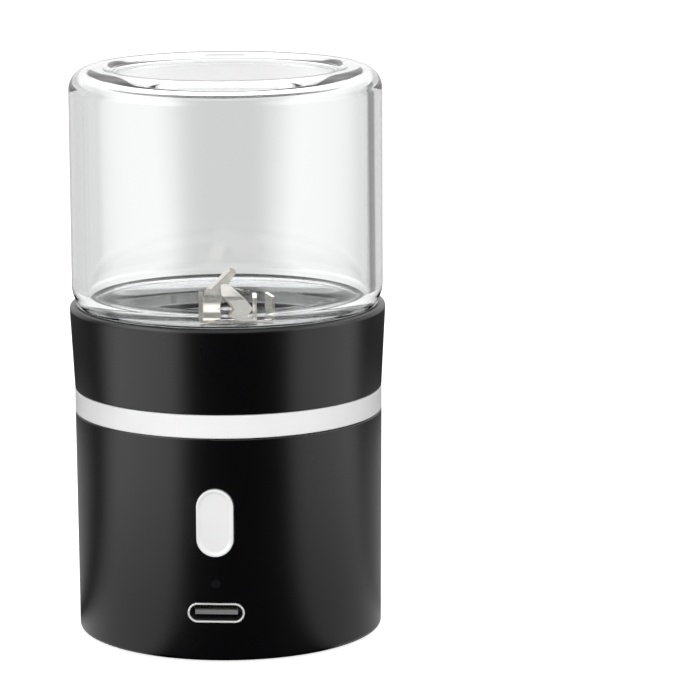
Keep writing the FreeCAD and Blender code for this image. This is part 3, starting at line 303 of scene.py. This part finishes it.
def socket_steel(shade, mouth):
    """Plated steel, bright at the socket's mouth, with painted shade that darkens the colour of its inside.
    """
    f = Finish("socket_shell_steel")
    streak = f.noise(STREAK, 3.0, (1.0, 0.06, 1.0))
    # Painted shade: the plating's colour falls to a twentieth of itself deeper inside the shell.
    inside = f.step(f.part(f.spot(), "Y"), mouth + 0.0002, mouth + 0.0006)
    plating = f.mix(streak, scaled(shade, 0.9), scaled(shade, 1.06))
    return f.done(f.body(Base_Color=f.mix(inside, plating, scaled(shade, 0.05)), Metallic=0.35,
                         Roughness=streak * 0.12 + inside * 0.2 + 0.28,
                         Normal=f.bump(streak, 0.02, STREAK_DEPTH)))


def rubber(name, shade, rings):
    """Matt rubber with a dusty bloom and fine moulded rings."""
    f = Finish(name)
    dust = f.noise(700.0, 4.0)
    ripple = f.node("ShaderNodeTexWave", {"wave_type": "RINGS", "rings_direction": "Z"},
                    {"Vector": f.spot(), "Scale": rings, "Distortion": 0.0})
    tone = f.mix(dust, shade, scaled(shade, 2.2))
    return f.done(f.body(Base_Color=tone, Roughness=dust * 0.15 + 0.62, Specular_IOR_Level=0.3,
                         Normal=f.bump(ripple, 0.25, 0.00008)))


def cast_metal(name, shade, rough, speck, metallic=1.0):
    """Sintered or cast metal: specks of a second tone and an uneven surface."""
    f = Finish(name)
    grains = f.node("ShaderNodeTexVoronoi", {"feature": "F1"}, {"Vector": f.spot(), "Scale": speck})
    cloud = f.noise(300.0, 3.0)
    tone = f.mix(grains, scaled(shade, 0.75), scaled(shade, 1.2))
    return f.done(f.body(Base_Color=tone, Metallic=metallic, Roughness=cloud * 0.15 + rough,
                         Normal=f.bump(grains, 0.2, 0.00003)))


def stacked_sheet(name, shade):
    """Electrical steel sheets in a stack, each a fine line."""
    f = Finish(name)
    sheets = f.node("ShaderNodeTexWave", {"wave_type": "BANDS", "bands_direction": "Z"},
                    {"Vector": f.spot(), "Scale": 320.0, "Distortion": 0.4})
    tone = f.mix(sheets, scaled(shade, 0.6), shade)
    return f.done(f.body(Base_Color=tone, Metallic=0.9, Roughness=sheets * 0.1 + 0.4,
                         Normal=f.bump(sheets, 0.5, 0.0001)))


def circuit_laminate():
    """Green solder mask with darker tracks under it."""
    f = Finish("circuit_laminate")
    tracks = f.node("ShaderNodeTexBrick", {"offset": 0.4, "squash": 1.0},
                    {"Vector": f.spot(turn=(math.pi / 2, 0.0, 0.0)), "Scale": 160.0, "Mortar Size": 0.03,
                     "Color1": (0.0, 0.0, 0.0, 1.0), "Color2": (0.12, 0.12, 0.12, 1.0),
                     "Mortar": (1.0, 1.0, 1.0, 1.0)}, "Fac")
    tone = f.mix(tracks, (0.012, 0.105, 0.045), (0.035, 0.22, 0.085))
    return f.done(f.body(Base_Color=tone, Roughness=tracks * 0.12 + 0.3,
                         Normal=f.bump(tracks, 0.3, 0.00005)))


def foil_pouch():
    """Crinkled aluminium laminate."""
    f = Finish("foil_pouch")
    crinkle = f.noise(420.0, 4.0)
    tone = f.mix(crinkle, (0.50, 0.52, 0.54), (0.72, 0.74, 0.76))
    return f.done(f.body(Base_Color=tone, Metallic=0.85, Roughness=crinkle * 0.2 + 0.25,
                         Normal=f.bump(crinkle, 0.35, 0.0002)))


def foam():
    """Black foam of fine cells."""
    f = Finish("adhesive_foam")
    cells = f.node("ShaderNodeTexVoronoi", {"feature": "F1"}, {"Vector": f.spot(), "Scale": 2600.0})
    tone = f.mix(cells, (0.03, 0.03, 0.03), (0.09, 0.09, 0.09))
    return f.done(f.body(Base_Color=tone, Roughness=cells * 0.1 + 0.85, Normal=f.bump(cells, 0.6, 0.0002)))


def paired_insulation():
    """Red insulation on one lead of a pair and black on the other."""
    f = Finish("paired_insulation")
    side = f.step(f.part(f.spot(), "X"), -0.0005, 0.0005)
    print_marks = f.noise(900.0)
    tone = f.mix(side, (0.012, 0.012, 0.013), (0.42, 0.015, 0.012))
    return f.done(f.body(Base_Color=tone, Roughness=print_marks * 0.12 + 0.38))


def light_guide():
    """Smoked plastic of the charge light, dark while the light is off."""
    f = Finish("light_guide")
    haze = f.noise(900.0)
    tone = f.mix(haze, (0.004, 0.004, 0.005), (0.010, 0.010, 0.011))
    return f.done(f.body(Base_Color=tone, Roughness=haze * 0.1 + 0.18, Coat_Weight=0.3, Coat_Roughness=0.08))


def dress(material, *names):
    """Gives CAD nodes a material."""
    for name in names:
        slots = NODES[name].data.materials
        slots.clear()
        slots.append(material)


# Meshes

JAR_SEGMENTS = 192
ON_AXIS = 1e-9              # a point of a profile this near the axis is a single vertex
WELD = 1e-6                 # vertices this close become one
FLAT = math.radians(0.4)    # triangles this near to one plane become one face
SHARP = math.radians(28.0)  # edges that bend more than this are bevelled


def add_piece(name, mesh, body, slot, *replaced):
    """Puts a finished mesh in the scene, riding on its body."""
    piece = bpy.data.objects.new(name, mesh)
    bpy.context.scene.collection.objects.link(piece)
    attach(piece, body)
    if replaced:
        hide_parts(*replaced)


def arc(centre, radius, start, end, outward=True, steps=10):
    """Points of a profile on an arc: radius, height and the direction the surface faces."""
    facing = 1.0 if outward else -1.0
    points = []
    for number in range(steps + 1):
        a = math.radians(start + (end - start) * number / steps)
        points.append((centre[0] + radius * math.cos(a), centre[1] + radius * math.sin(a),
                       facing * math.cos(a), facing * math.sin(a)))
    return points


def slope(outer, inner, high, low, up):
    """A smooth fall from a rim at outer and high to a sunk middle at inner and low, on a face up or down."""
    run = (outer - inner) / 2
    drop = (high - low) / 2
    radius = (run * run + drop * drop) / (2 * drop)
    turn = 2 * math.degrees(math.atan2(drop, run))
    crest = arc((outer, high - radius), radius, 90, 90 + turn, up)
    trough = arc((inner, low + radius), radius, -90 + turn, -90, not up)
    return crest + trough


def shoulder(wall, neck, height, crown, hollow):
    """The centres of a shoulder's two rounds, and the angle where one passes into the other."""
    across = neck + hollow - (wall - crown)
    apart = crown + hollow
    drop = math.sqrt(apart ** 2 - across ** 2)
    return (wall - crown, height), (neck + hollow, height - drop), -math.degrees(math.acos(across / apart))


def jar_profile(s):
    """The glass in section, from the middle of its closed end down the outside and up the inside."""
    neck = s.jar_radius - s.neck_step
    bore = neck - s.jar_wall
    wall = s.jar_radius - s.jar_wall
    crown, hollow, fall = shoulder(s.jar_radius, neck, s.jar_shoulder, s.jar_shoulder_round, s.neck_round)
    heel, throat, turn = shoulder(wall, bore, s.jar_shoulder - s.heel_drop, s.heel_round, s.heel_neck_round)
    ceiling = s.jar_top - s.jar_end
    inner_round = s.jar_top_round - s.jar_wall
    edge = s.punt_radius + s.punt_slope
    lip = s.jar_lip + s.lip_round
    sunk = s.jar_top - s.punt_depth
    sunk_inside = ceiling - s.punt_depth
    top_round = s.jar_top_round
    outside = [(0.0, sunk, 0.0, 1.0), (s.punt_radius / 2, sunk, 0.0, 1.0)]
    outside += reversed(slope(edge, s.punt_radius, s.jar_top, sunk, True))
    outside += arc((s.jar_radius - top_round, s.jar_top - top_round), top_round, 90, 0, True, 16)
    outside += arc(crown, s.jar_shoulder_round, 0, fall, True, 16)
    outside += arc(hollow, s.neck_round, 180 + fall, 180, False)
    outside += arc((neck - s.lip_round, lip), s.lip_round, 0, -90)
    inside = arc((bore + s.lip_round, lip), s.lip_round, -90, -180)
    inside += arc(throat, s.heel_neck_round, 180, 180 + turn)
    inside += arc(heel, s.heel_round, turn, 0, False, 16)
    inside += arc((wall - inner_round, ceiling - inner_round), inner_round, 0, 90, False, 12)
    inside += slope(edge, s.punt_radius, ceiling, sunk_inside, False)
    inside += [(s.punt_radius / 2, sunk_inside, 0.0, -1.0), (0.0, sunk_inside, 0.0, -1.0)]
    return outside + inside


def lathe(name, profile, segments):
    """Turns a profile about the vertical axis, with the profile's own facing as its smooth normals."""
    places = []
    facings = []
    rings = []
    for radius, height, out, up in profile:
        if radius < ON_AXIS:
            rings.append([len(places)] * segments)
            places.append((0.0, 0.0, height))
            facings.append((0.0, 0.0, up))
            continue
        rings.append([len(places) + number for number in range(segments)])
        for number in range(segments):
            a = 2 * math.pi * number / segments
            places.append((radius * math.cos(a), radius * math.sin(a), height))
            facings.append((out * math.cos(a), out * math.sin(a), up))
    faces = []
    for upper, lower in zip(rings, rings[1:]):
        for number in range(segments):
            following = (number + 1) % segments
            corners = [upper[number], lower[number], lower[following], upper[following]]
            faces.append(list(dict.fromkeys(corners)))
    mesh = bpy.data.meshes.new(name)
    mesh.from_pydata(places, [], faces)
    mesh.shade_smooth()
    mesh.normals_split_custom_set_from_vertices(facings)
    return mesh


def softened(node, width):
    """A copy of a CAD node's mesh with its triangles merged into faces and its sharp edges bevelled."""
    work = bmesh.new()
    work.from_mesh(NODES[node].data)
    bmesh.ops.remove_doubles(work, verts=work.verts, dist=WELD)
    bmesh.ops.dissolve_limit(work, angle_limit=FLAT, verts=work.verts, edges=work.edges)
    for edge in work.edges:
        edge.smooth = len(edge.link_faces) == 2 and edge.calc_face_angle(0.0) < SHARP
    for face in work.faces:
        face.smooth = True
    mesh = bpy.data.meshes.new(node + "_soft")
    work.to_mesh(mesh)
    work.free()
    holder = bpy.data.objects.new(node + "_work", mesh)
    bpy.context.scene.collection.objects.link(holder)
    bevel = holder.modifiers.new("worn edge", "BEVEL")
    bevel.width = width
    bevel.segments = 2
    bevel.limit_method = "ANGLE"
    bevel.angle_limit = SHARP
    bevel.harden_normals = True
    return settled(holder)


def settled(holder):
    """The mesh that an object's modifiers give. The object itself goes."""
    graph = bpy.context.evaluated_depsgraph_get()
    mesh = bpy.data.meshes.new_from_object(holder.evaluated_get(graph), depsgraph=graph)
    name = holder.name
    bpy.data.objects.remove(holder)
    mesh.name = name
    return mesh


def node_tree(name, inputs):
    """A Geometry Nodes tree with named inputs and one geometry output."""
    tree = bpy.data.node_groups.new(name, "GeometryNodeTree")
    tree.interface.new_socket("Geometry", in_out="OUTPUT", socket_type="NodeSocketGeometry")
    sockets = {}
    for label, kind in inputs:
        sockets[label] = tree.interface.new_socket(label, in_out="INPUT", socket_type=kind).identifier
    return tree, sockets


def wire(tree, kind, settings=None, sockets=None):
    """Adds a node to a Geometry Nodes tree, with its settings and its sockets' values or links."""
    node = tree.nodes.new(kind)
    for key, value in (settings or {}).items():
        setattr(node, key, value)
    for key, value in (sockets or {}).items():
        if isinstance(value, bpy.types.NodeSocket):
            tree.links.new(value, node.inputs[key])
        else:
            node.inputs[key].default_value = value
    return node


def grown(name, tree, sockets, values):
    """Runs a Geometry Nodes tree on an empty mesh and gives the plain mesh that it makes."""
    holder = bpy.data.objects.new(name, bpy.data.meshes.new(name))
    bpy.context.scene.collection.objects.link(holder)
    modifier = holder.modifiers.new("grow", "NODES")
    modifier.node_group = tree
    for label, value in values.items():
        modifier[sockets[label]] = value
    return settled(holder)


def contact_tree():
    """Two rows of flat contacts, one on each face of a tongue."""
    tree, sockets = node_tree("socket contact rows", [
        ("Count", "NodeSocketInt"), ("Pitch", "NodeSocketFloat"), ("Size", "NodeSocketVector"),
        ("Middle", "NodeSocketVector"), ("Half gap", "NodeSocketFloat"), ("Finish", "NodeSocketMaterial")])
    given = wire(tree, "NodeGroupInput").outputs
    span = wire(tree, "ShaderNodeMath", {"operation": "MULTIPLY"}, {0: given["Count"], 1: given["Pitch"]})
    spare = wire(tree, "ShaderNodeMath", {"operation": "SUBTRACT"}, {0: span.outputs[0], 1: given["Pitch"]})
    half = wire(tree, "ShaderNodeMath", {"operation": "MULTIPLY"}, {0: spare.outputs[0], 1: -0.5})
    start = wire(tree, "ShaderNodeCombineXYZ", None, {"X": half.outputs[0]})
    stride = wire(tree, "ShaderNodeCombineXYZ", None, {"X": given["Pitch"]})
    line = wire(tree, "GeometryNodeMeshLine", {"mode": "OFFSET"},
                {"Count": given["Count"], "Start Location": start.outputs[0], "Offset": stride.outputs[0]})
    leaf = wire(tree, "GeometryNodeMeshCube", None, {"Size": given["Size"]})
    row = wire(tree, "GeometryNodeInstanceOnPoints", None,
               {"Points": line.outputs[0], "Instance": leaf.outputs[0]})
    join = wire(tree, "GeometryNodeJoinGeometry")
    for side in (1.0, -1.0):
        lift = wire(tree, "ShaderNodeMath", {"operation": "MULTIPLY"}, {0: given["Half gap"], 1: side})
        shift = wire(tree, "ShaderNodeCombineXYZ", None, {"Z": lift.outputs[0]})
        place = wire(tree, "ShaderNodeVectorMath", {"operation": "ADD"},
                     {0: given["Middle"], 1: shift.outputs[0]})
        moved = wire(tree, "GeometryNodeTransform", None,
                     {"Geometry": row.outputs[0], "Translation": place.outputs[0]})
        tree.links.new(moved.outputs[0], join.inputs[0])
    real = wire(tree, "GeometryNodeRealizeInstances", None, {0: join.outputs[0]})
    painted = wire(tree, "GeometryNodeSetMaterial", None,
                   {"Geometry": real.outputs[0], "Material": given["Finish"]})
    wire(tree, "NodeGroupOutput", None, {0: painted.outputs[0]})
    return tree, sockets


# Operators

class GRINDER_OT_jar(bpy.types.Operator):
    """Turns the thick glass jar"""
    bl_idname = "grinder.jar"
    bl_label = "Glass Jar"

    def execute(self, context):
        mesh = lathe("jar_glass", jar_profile(context.scene.grinder_sizes), JAR_SEGMENTS)
        mesh.materials.append(clear_glass(context.scene.grinder_colours.glass_tint))
        add_piece("jar_glass", mesh, "jar", "glass", "glass_jar")
        return {"FINISHED"}


class GRINDER_OT_mouldings(bpy.types.Operator):
    """Finishes the housing, collar, trim ring, base cover and seals"""
    bl_idname = "grinder.mouldings"
    bl_label = "Mouldings"

    def execute(self, context):
        c = context.scene.grinder_colours
        dress(satin_moulding("black_satin_plastic", c.black_plastic, 0.28, 0.05, 0.5), "housing")
        lined = lined_well("black_collar_lined", c.black_plastic, c.well_lining, 0.28, 0.06,
                           JAR_HIGH.x - LINING_INSET)
        dress(lined, "collar")
        dress(satin_moulding("white_satin_trim", c.white_trim, 0.36, 0.04, 0.4), "trim_ring")
        dress(satin_moulding("matt_black_moulding", c.matt_black, 0.62, 0.25, 0.3),
              "base_cover", "motor_end_cap", "switch_body", "switch_plunger")
        dress(rubber("black_rubber", c.black_rubber, 260.0), "foot_ring", "shaft_seal")
        dress(rubber("seal_silicone", scaled(c.black_rubber, 2.0), 320.0), "jar_gasket")
        return {"FINISHED"}


class GRINDER_OT_button(bpy.types.Operator):
    """Finishes the push button and the charge light"""
    bl_idname = "grinder.button"
    bl_label = "Button and Light"

    def execute(self, context):
        c = context.scene.grinder_colours
        dress(satin_moulding("glossy_button", c.button_face, 0.2, 0.01, 0.5, 0.8), "button_cap")
        dress(light_guide(), "light_pipe", "charge_led")
        return {"FINISHED"}


class GRINDER_OT_socket(bpy.types.Operator):
    """Makes the charge socket's rounded shell and its contacts"""
    bl_idname = "grinder.socket"
    bl_label = "Charge Socket"

    def execute(self, context):
        s = context.scene.grinder_sizes
        c = context.scene.grinder_colours
        shell = softened("socket_shell", s.mouth_soften)
        shell.materials.clear()
        shell.materials.append(socket_steel(c.socket_plating, SHELL_MOUTH))
        add_piece("socket_shell_rounded", shell, "base", "socket_steel", "socket_shell")
        dress(satin_moulding("grey_insulator", c.socket_insulator, 0.4, 0.1), "socket_tongue")
        gold = cast_metal("gold_flash", (0.62, 0.44, 0.16), 0.22, 3000.0)
        tree, sockets = contact_tree()
        middle_z = (TONGUE_LOW.z + TONGUE_HIGH.z) / 2
        rows = grown("socket_contacts", tree, sockets, {
            "Count": s.contact_count, "Pitch": s.contact_pitch,
            "Size": (s.contact_width, s.contact_length, s.contact_thick),
            "Middle": (0.0, TONGUE_LOW.y + s.contact_setback, middle_z),
            "Half gap": s.contact_lift, "Finish": gold})
        add_piece("socket_contacts", rows, "base", "brass")
        return {"FINISHED"}


class GRINDER_OT_cutter(bpy.types.Operator):
    """Finishes the bent steel cutter, its hub and its nut"""
    bl_idname = "grinder.cutter"
    bl_label = "Cutter"

    def execute(self, context):
        s = context.scene.grinder_sizes
        c = context.scene.grinder_colours
        blade = ground_steel("ground_blade_steel", c.blade_steel, 0.24, 0.06, (0.0, 0.0, 0.6), 0.75)
        bright = ground_steel("bright_steel", c.bright_steel, 0.24, 0.03, (0.0, 0.0, 1.1))
        for node, material, slot in (("claw_blade", blade, "blade_steel"),
                                     ("tooth_blade", blade, "blade_steel"),
                                     ("blade_nut", bright, "steel")):
            mesh = softened(node, s.edge_soften)
            mesh.materials.clear()
            mesh.materials.append(material)
            add_piece(node + "_worn", mesh, "cutter", slot, node)
        dress(bright, "cutter_hub", "motor_shaft", "cover_screws", "collar_screws", "bracket_screws",
              "motor_screws", "motor_bracket", "motor_can", "switch_plate")
        return {"FINISHED"}


class GRINDER_OT_works(bpy.types.Operator):
    """Finishes the motor, the battery and the circuit board inside the housing"""
    bl_idname = "grinder.works"
    bl_label = "Inner Works"

    def execute(self, context):
        dress(cast_metal("sintered_bronze", (0.40, 0.26, 0.12), 0.38, 5000.0), "front_bush", "rear_bush")
        dress(cast_metal("plain_brass", (0.66, 0.50, 0.22), 0.28, 2400.0), "motor_terminals")
        dress(cast_metal("enamelled_copper", (0.55, 0.22, 0.09), 0.3, 2600.0),
              "rotor_windings", "commutator")
        dress(cast_metal("dark_ferrite", (0.05, 0.05, 0.055), 0.5, 1800.0, 0.2),
              "motor_magnets", "motor_brushes")
        dress(stacked_sheet("stacked_core_sheet", (0.32, 0.32, 0.33)), "rotor_core")
        dress(circuit_laminate(), "circuit_board")
        dress(satin_moulding("chip_epoxy", (0.02, 0.02, 0.021), 0.5, 0.2), "board_chips")
        dress(foil_pouch(), "battery_cell")
        dress(foam(), "battery_pad")
        dress(paired_insulation(), "battery_leads", "motor_leads")
        return {"FINISHED"}


class GRINDER_OT_studio(bpy.types.Operator):
    """Sets up the pale floor, the soft lamps and the camera"""
    bl_idname = "grinder.studio"
    bl_label = "Studio"

    def execute(self, context):
        studio = context.scene.grinder_studio
        context.scene.view_settings.view_transform = "Standard"
        lay_floor(context.scene.grinder_colours.floor, studio)
        light_world(context.scene, studio)
        add_lamp("top_lamp", TOP_LAMP_PLACE, TOP_LAMP_SIZE, studio.top_power)
        add_lamp("front_lamp", FRONT_LAMP_PLACE, FRONT_LAMP_SIZE, studio.front_power)
        place_camera(context.scene, studio)
        return {"FINISHED"}


# The studio. An edge is where a level starts and ends, in shares of a direction or in metres on the floor

LEFT_PANEL_EDGE, LEFT_PANEL_END = (0.36, 0.56), (-0.22, 0.22)
RIGHT_PANEL_EDGE, RIGHT_PANEL_END = (0.68, 0.83), (0.15, 0.5)
RIGHT_PANEL_SHARE = 0.75    # the right panel is this bright beside the left one
FRONT_EDGE, BACK_EDGE, TOP_EDGE = (0.78, 0.95), (0.1, 0.6), (0.35, 0.6)
STRIP_EDGE, CARD_EDGE = (0.025, 0.085), (0.12, 0.45)
GAP_START, GAP_END = (0.40, 0.48), (0.58, 0.68)
NEAR_EDGE, DIP_EDGE, FAR_EDGE = (0.04, 0.2), (0.14, 0.2), (0.29, 0.36)

FLOOR_RADIUS = 6.0
FLOOR_LIFT = 0.8            # light that keeps the floor white to the camera
FLOOR_PANEL, FLOOR_PANEL_RISE, FLOOR_PANEL_FALL = 0.8, 1.0, 1.2
FLOOR_BACK, FLOOR_BACK_DIP, FLOOR_BACK_RISE = 0.42, 0.4, 0.51
FLOOR_DARK = 0.012
CARD_SIDE, CARD_MIDDLE, CARD_GAP = 0.72, 1.01, 0.5
CARD_FRONT, CARD_PANEL = 0.34, 0.1
SKY_BACK, SKY_TOP, SKY_DARK = 0.9, 1.2, 0.01
SKY_THROUGH, SKY_THROUGH_BACK, SKY_THROUGH_FRONT, SKY_THROUGH_TOP = 0.8, 0.35, 0.08, 1.1
SKY_SOFT = 0.45

TOP_LAMP_PLACE, TOP_LAMP_SIZE = (0.0, 0.02, 0.6), (0.5, 0.5)
FRONT_LAMP_PLACE, FRONT_LAMP_SIZE = (0.0, -0.75, 0.4), (0.5, 0.4)
LAMP_AIM = (0.0, 0.0, 0.045)
SENSOR_WIDTH = 36.0
NEAREST_SEEN = 0.02


def round_about(f, way):
    """How far a direction points to the panels at the sides, to the front and to the back."""
    across = f.part(way, "X")
    depth = f.part(way, "Y")
    left = f.step(across * -1.0, *LEFT_PANEL_EDGE) * (1.0 - f.step(depth, *LEFT_PANEL_END))
    right = f.step(across, *RIGHT_PANEL_EDGE) * (1.0 - f.step(depth, *RIGHT_PANEL_END))
    return left + right * RIGHT_PANEL_SHARE, f.step(depth * -1.0, *FRONT_EDGE), f.step(depth, *BACK_EDGE)


def backdrop(f, way, back, studio):
    """How bright the painted backdrop glows behind the jar: a grey strip between white cards, and a dark gap.
    """
    across = f.part(way, "X")
    view = studio.camera_azimuth
    aside = f.node("ShaderNodeMath", {"operation": "ABSOLUTE"},
                   {0: across * math.cos(view) + f.part(way, "Y") * math.sin(view)})
    strip = (1.0 - f.step(aside, *STRIP_EDGE)) * back
    middle = (1.0 - f.step(aside, *CARD_EDGE)) * back
    gap = f.step(across, *GAP_START) * (1.0 - f.step(across, *GAP_END)) * back
    white = CARD_SIDE + middle * (CARD_MIDDLE - CARD_SIDE)
    return white - strip * (CARD_MIDDLE - studio.grey_card) - gap * CARD_GAP


def by_ray(f, plain, looks):
    """Gives each kind of ray its own look of a surface. A later look goes before an earlier one."""
    surface = plain
    for ray, look in looks.items():
        kind = f.node("ShaderNodeLightPath", output=ray)
        surface = f.node("ShaderNodeMixShader", None, {0: kind, 1: surface, 2: look})
    return surface


def lay_floor(shade, studio):
    """A wide round floor: white to the camera with the object's soft shadow, glowing with painted side panels
    and a grey back in reflections, and with a painted backdrop through the glass.
    """
    mesh = bpy.data.meshes.new("studio_floor")
    work = bmesh.new()
    bmesh.ops.create_circle(work, cap_ends=True, segments=96, radius=FLOOR_RADIUS)
    work.to_mesh(mesh)
    work.free()
    floor = bpy.data.objects.new("studio_floor", mesh)
    bpy.context.scene.collection.objects.link(floor)
    f = Finish("pale_floor")
    way = f.node("ShaderNodeVectorMath", {"operation": "NORMALIZE"}, {0: f.spot()})
    reach = f.reach(f.spot())
    far = f.step(reach, *FAR_EDGE)
    side, front, back = round_about(f, way)
    # Painted reflection: for glossy rays the floor glows, though it is no lamp, as bright side panels, a grey
    # back and a dark front.
    panel = f.step(reach, *NEAR_EDGE) * FLOOR_PANEL_RISE + FLOOR_PANEL - far * FLOOR_PANEL_FALL
    behind = FLOOR_BACK - f.step(reach, *DIP_EDGE) * FLOOR_BACK_DIP + far * FLOOR_BACK_RISE
    painted_reflection_glow = f.glow("ShaderNodeEmission", side * panel + back * behind + FLOOR_DARK)
    # Painted backdrop: for rays through the glass the floor glows as a grey strip between white cards, a dark
    # gap and a dim front.
    card = (1.0 - front) * backdrop(f, way, back, studio)
    grey = f.glow("ShaderNodeEmission", card + front * CARD_FRONT + side * CARD_PANEL)
    paper = f.noise(30.0, 3.0)
    plain = f.node("ShaderNodeBsdfDiffuse", None, {"Color": f.mix(paper, scaled(shade, 0.98), shade)})
    lift = f.node("ShaderNodeEmission", None, {"Color": (1.0, 1.0, 1.0, 1.0), "Strength": FLOOR_LIFT})
    white = f.node("ShaderNodeAddShader", None, {0: plain, 1: lift})
    looks = {"Is Glossy Ray": painted_reflection_glow, "Is Transmission Ray": grey, "Is Camera Ray": white}
    mesh.materials.append(f.done(by_ray(f, plain, looks)))


def light_world(scene, studio):
    """White to the camera. Reflections show a tall soft panel on either side and a dark front."""
    f = Finish("studio_world", world=True)
    way = f.node("ShaderNodeTexCoord", output="Generated")
    top = f.step(f.part(way, "Z"), *TOP_EDGE)
    side, front, back = round_about(f, way)
    bright = f.glow("ShaderNodeBackground",
                    side * studio.side_panel + back * SKY_BACK + top * SKY_TOP + SKY_DARK)
    facing = front * (1.0 - top)
    clear = (1.0 - facing) * (back * SKY_THROUGH_BACK + SKY_THROUGH)
    grey = f.glow("ShaderNodeBackground", clear + facing * SKY_THROUGH_FRONT + top * SKY_THROUGH_TOP)
    soft = f.node("ShaderNodeBackground", None, {"Color": (SKY_SOFT, SKY_SOFT, SKY_SOFT, 1.0)})
    white = f.node("ShaderNodeBackground", None, {"Color": (1.0, 1.0, 1.0, 1.0)})
    looks = {"Is Glossy Ray": bright, "Is Transmission Ray": grey, "Is Camera Ray": white}
    scene.world = f.done(by_ray(f, soft, looks), "ShaderNodeOutputWorld")


def add_lamp(name, place, size, power):
    """A soft rectangular lamp that faces the object and isn't itself seen."""
    data = bpy.data.lights.new(name, "AREA")
    data.shape = "RECTANGLE"
    data.size, data.size_y = size
    data.energy = power
    lamp = bpy.data.objects.new(name, data)
    bpy.context.scene.collection.objects.link(lamp)
    lamp.location = place
    lamp.rotation_euler = (Vector(LAMP_AIM) - Vector(place)).to_track_quat("-Z", "Y").to_euler()
    lamp.visible_camera = False
    lamp.visible_transmission = False
    lamp.visible_glossy = False


def place_camera(scene, studio):
    """The camera as it stood for the picture."""
    data = bpy.data.cameras.new("photo_camera")
    data.lens = studio.camera_lens
    data.sensor_width = SENSOR_WIDTH
    data.clip_start = NEAREST_SEEN
    camera = bpy.data.objects.new("photo_camera", data)
    scene.collection.objects.link(camera)
    camera.location = (studio.camera_distance * math.sin(studio.camera_azimuth),
                       -studio.camera_distance * math.cos(studio.camera_azimuth), studio.camera_height)
    heading = studio.camera_azimuth - studio.camera_yaw
    turn = Euler((math.pi / 2 - studio.camera_pitch, 0.0, heading)).to_matrix()
    camera.rotation_euler = (turn @ Matrix.Rotation(studio.camera_roll, 3, "Z")).to_euler()
    scene.camera = camera


class GRINDER_PT_panel(bpy.types.Panel):
    """Lists the grinder's pieces, sizes and colours"""
    bl_idname = "GRINDER_PT_panel"
    bl_label = "Grinder"
    bl_space_type = "VIEW_3D"
    bl_region_type = "UI"
    bl_category = "Grinder"

    def draw(self, context):
        for operator in OPERATORS:
            self.layout.operator(operator.bl_idname)
        scene = context.scene
        for group in (scene.grinder_sizes, scene.grinder_colours, scene.grinder_studio):
            box = self.layout.box()
            for key in group.bl_rna.properties.keys():
                if key not in {"rna_type", "name"}:
                    box.prop(group, key)


OPERATORS = (GRINDER_OT_jar, GRINDER_OT_mouldings, GRINDER_OT_button, GRINDER_OT_socket, GRINDER_OT_cutter,
             GRINDER_OT_works, GRINDER_OT_studio)
GROUPS = (GrinderSizes, GrinderColours, GrinderStudio)


def register():
    for item in GROUPS + OPERATORS + (GRINDER_PT_panel,):
        bpy.utils.register_class(item)
    bpy.types.Scene.grinder_sizes = PointerProperty(type=GrinderSizes)
    bpy.types.Scene.grinder_colours = PointerProperty(type=GrinderColours)
    bpy.types.Scene.grinder_studio = PointerProperty(type=GrinderStudio)


def unregister():
    del bpy.types.Scene.grinder_studio
    del bpy.types.Scene.grinder_colours
    del bpy.types.Scene.grinder_sizes
    for item in reversed(GROUPS + OPERATORS + (GRINDER_PT_panel,)):
        bpy.utils.unregister_class(item)


def main():
    register()
    bpy.ops.grinder.jar()
    bpy.ops.grinder.mouldings()
    bpy.ops.grinder.button()
    bpy.ops.grinder.socket()
    bpy.ops.grinder.cutter()
    bpy.ops.grinder.works()
    bpy.ops.grinder.studio()


if __name__ == "__main__":
    main()
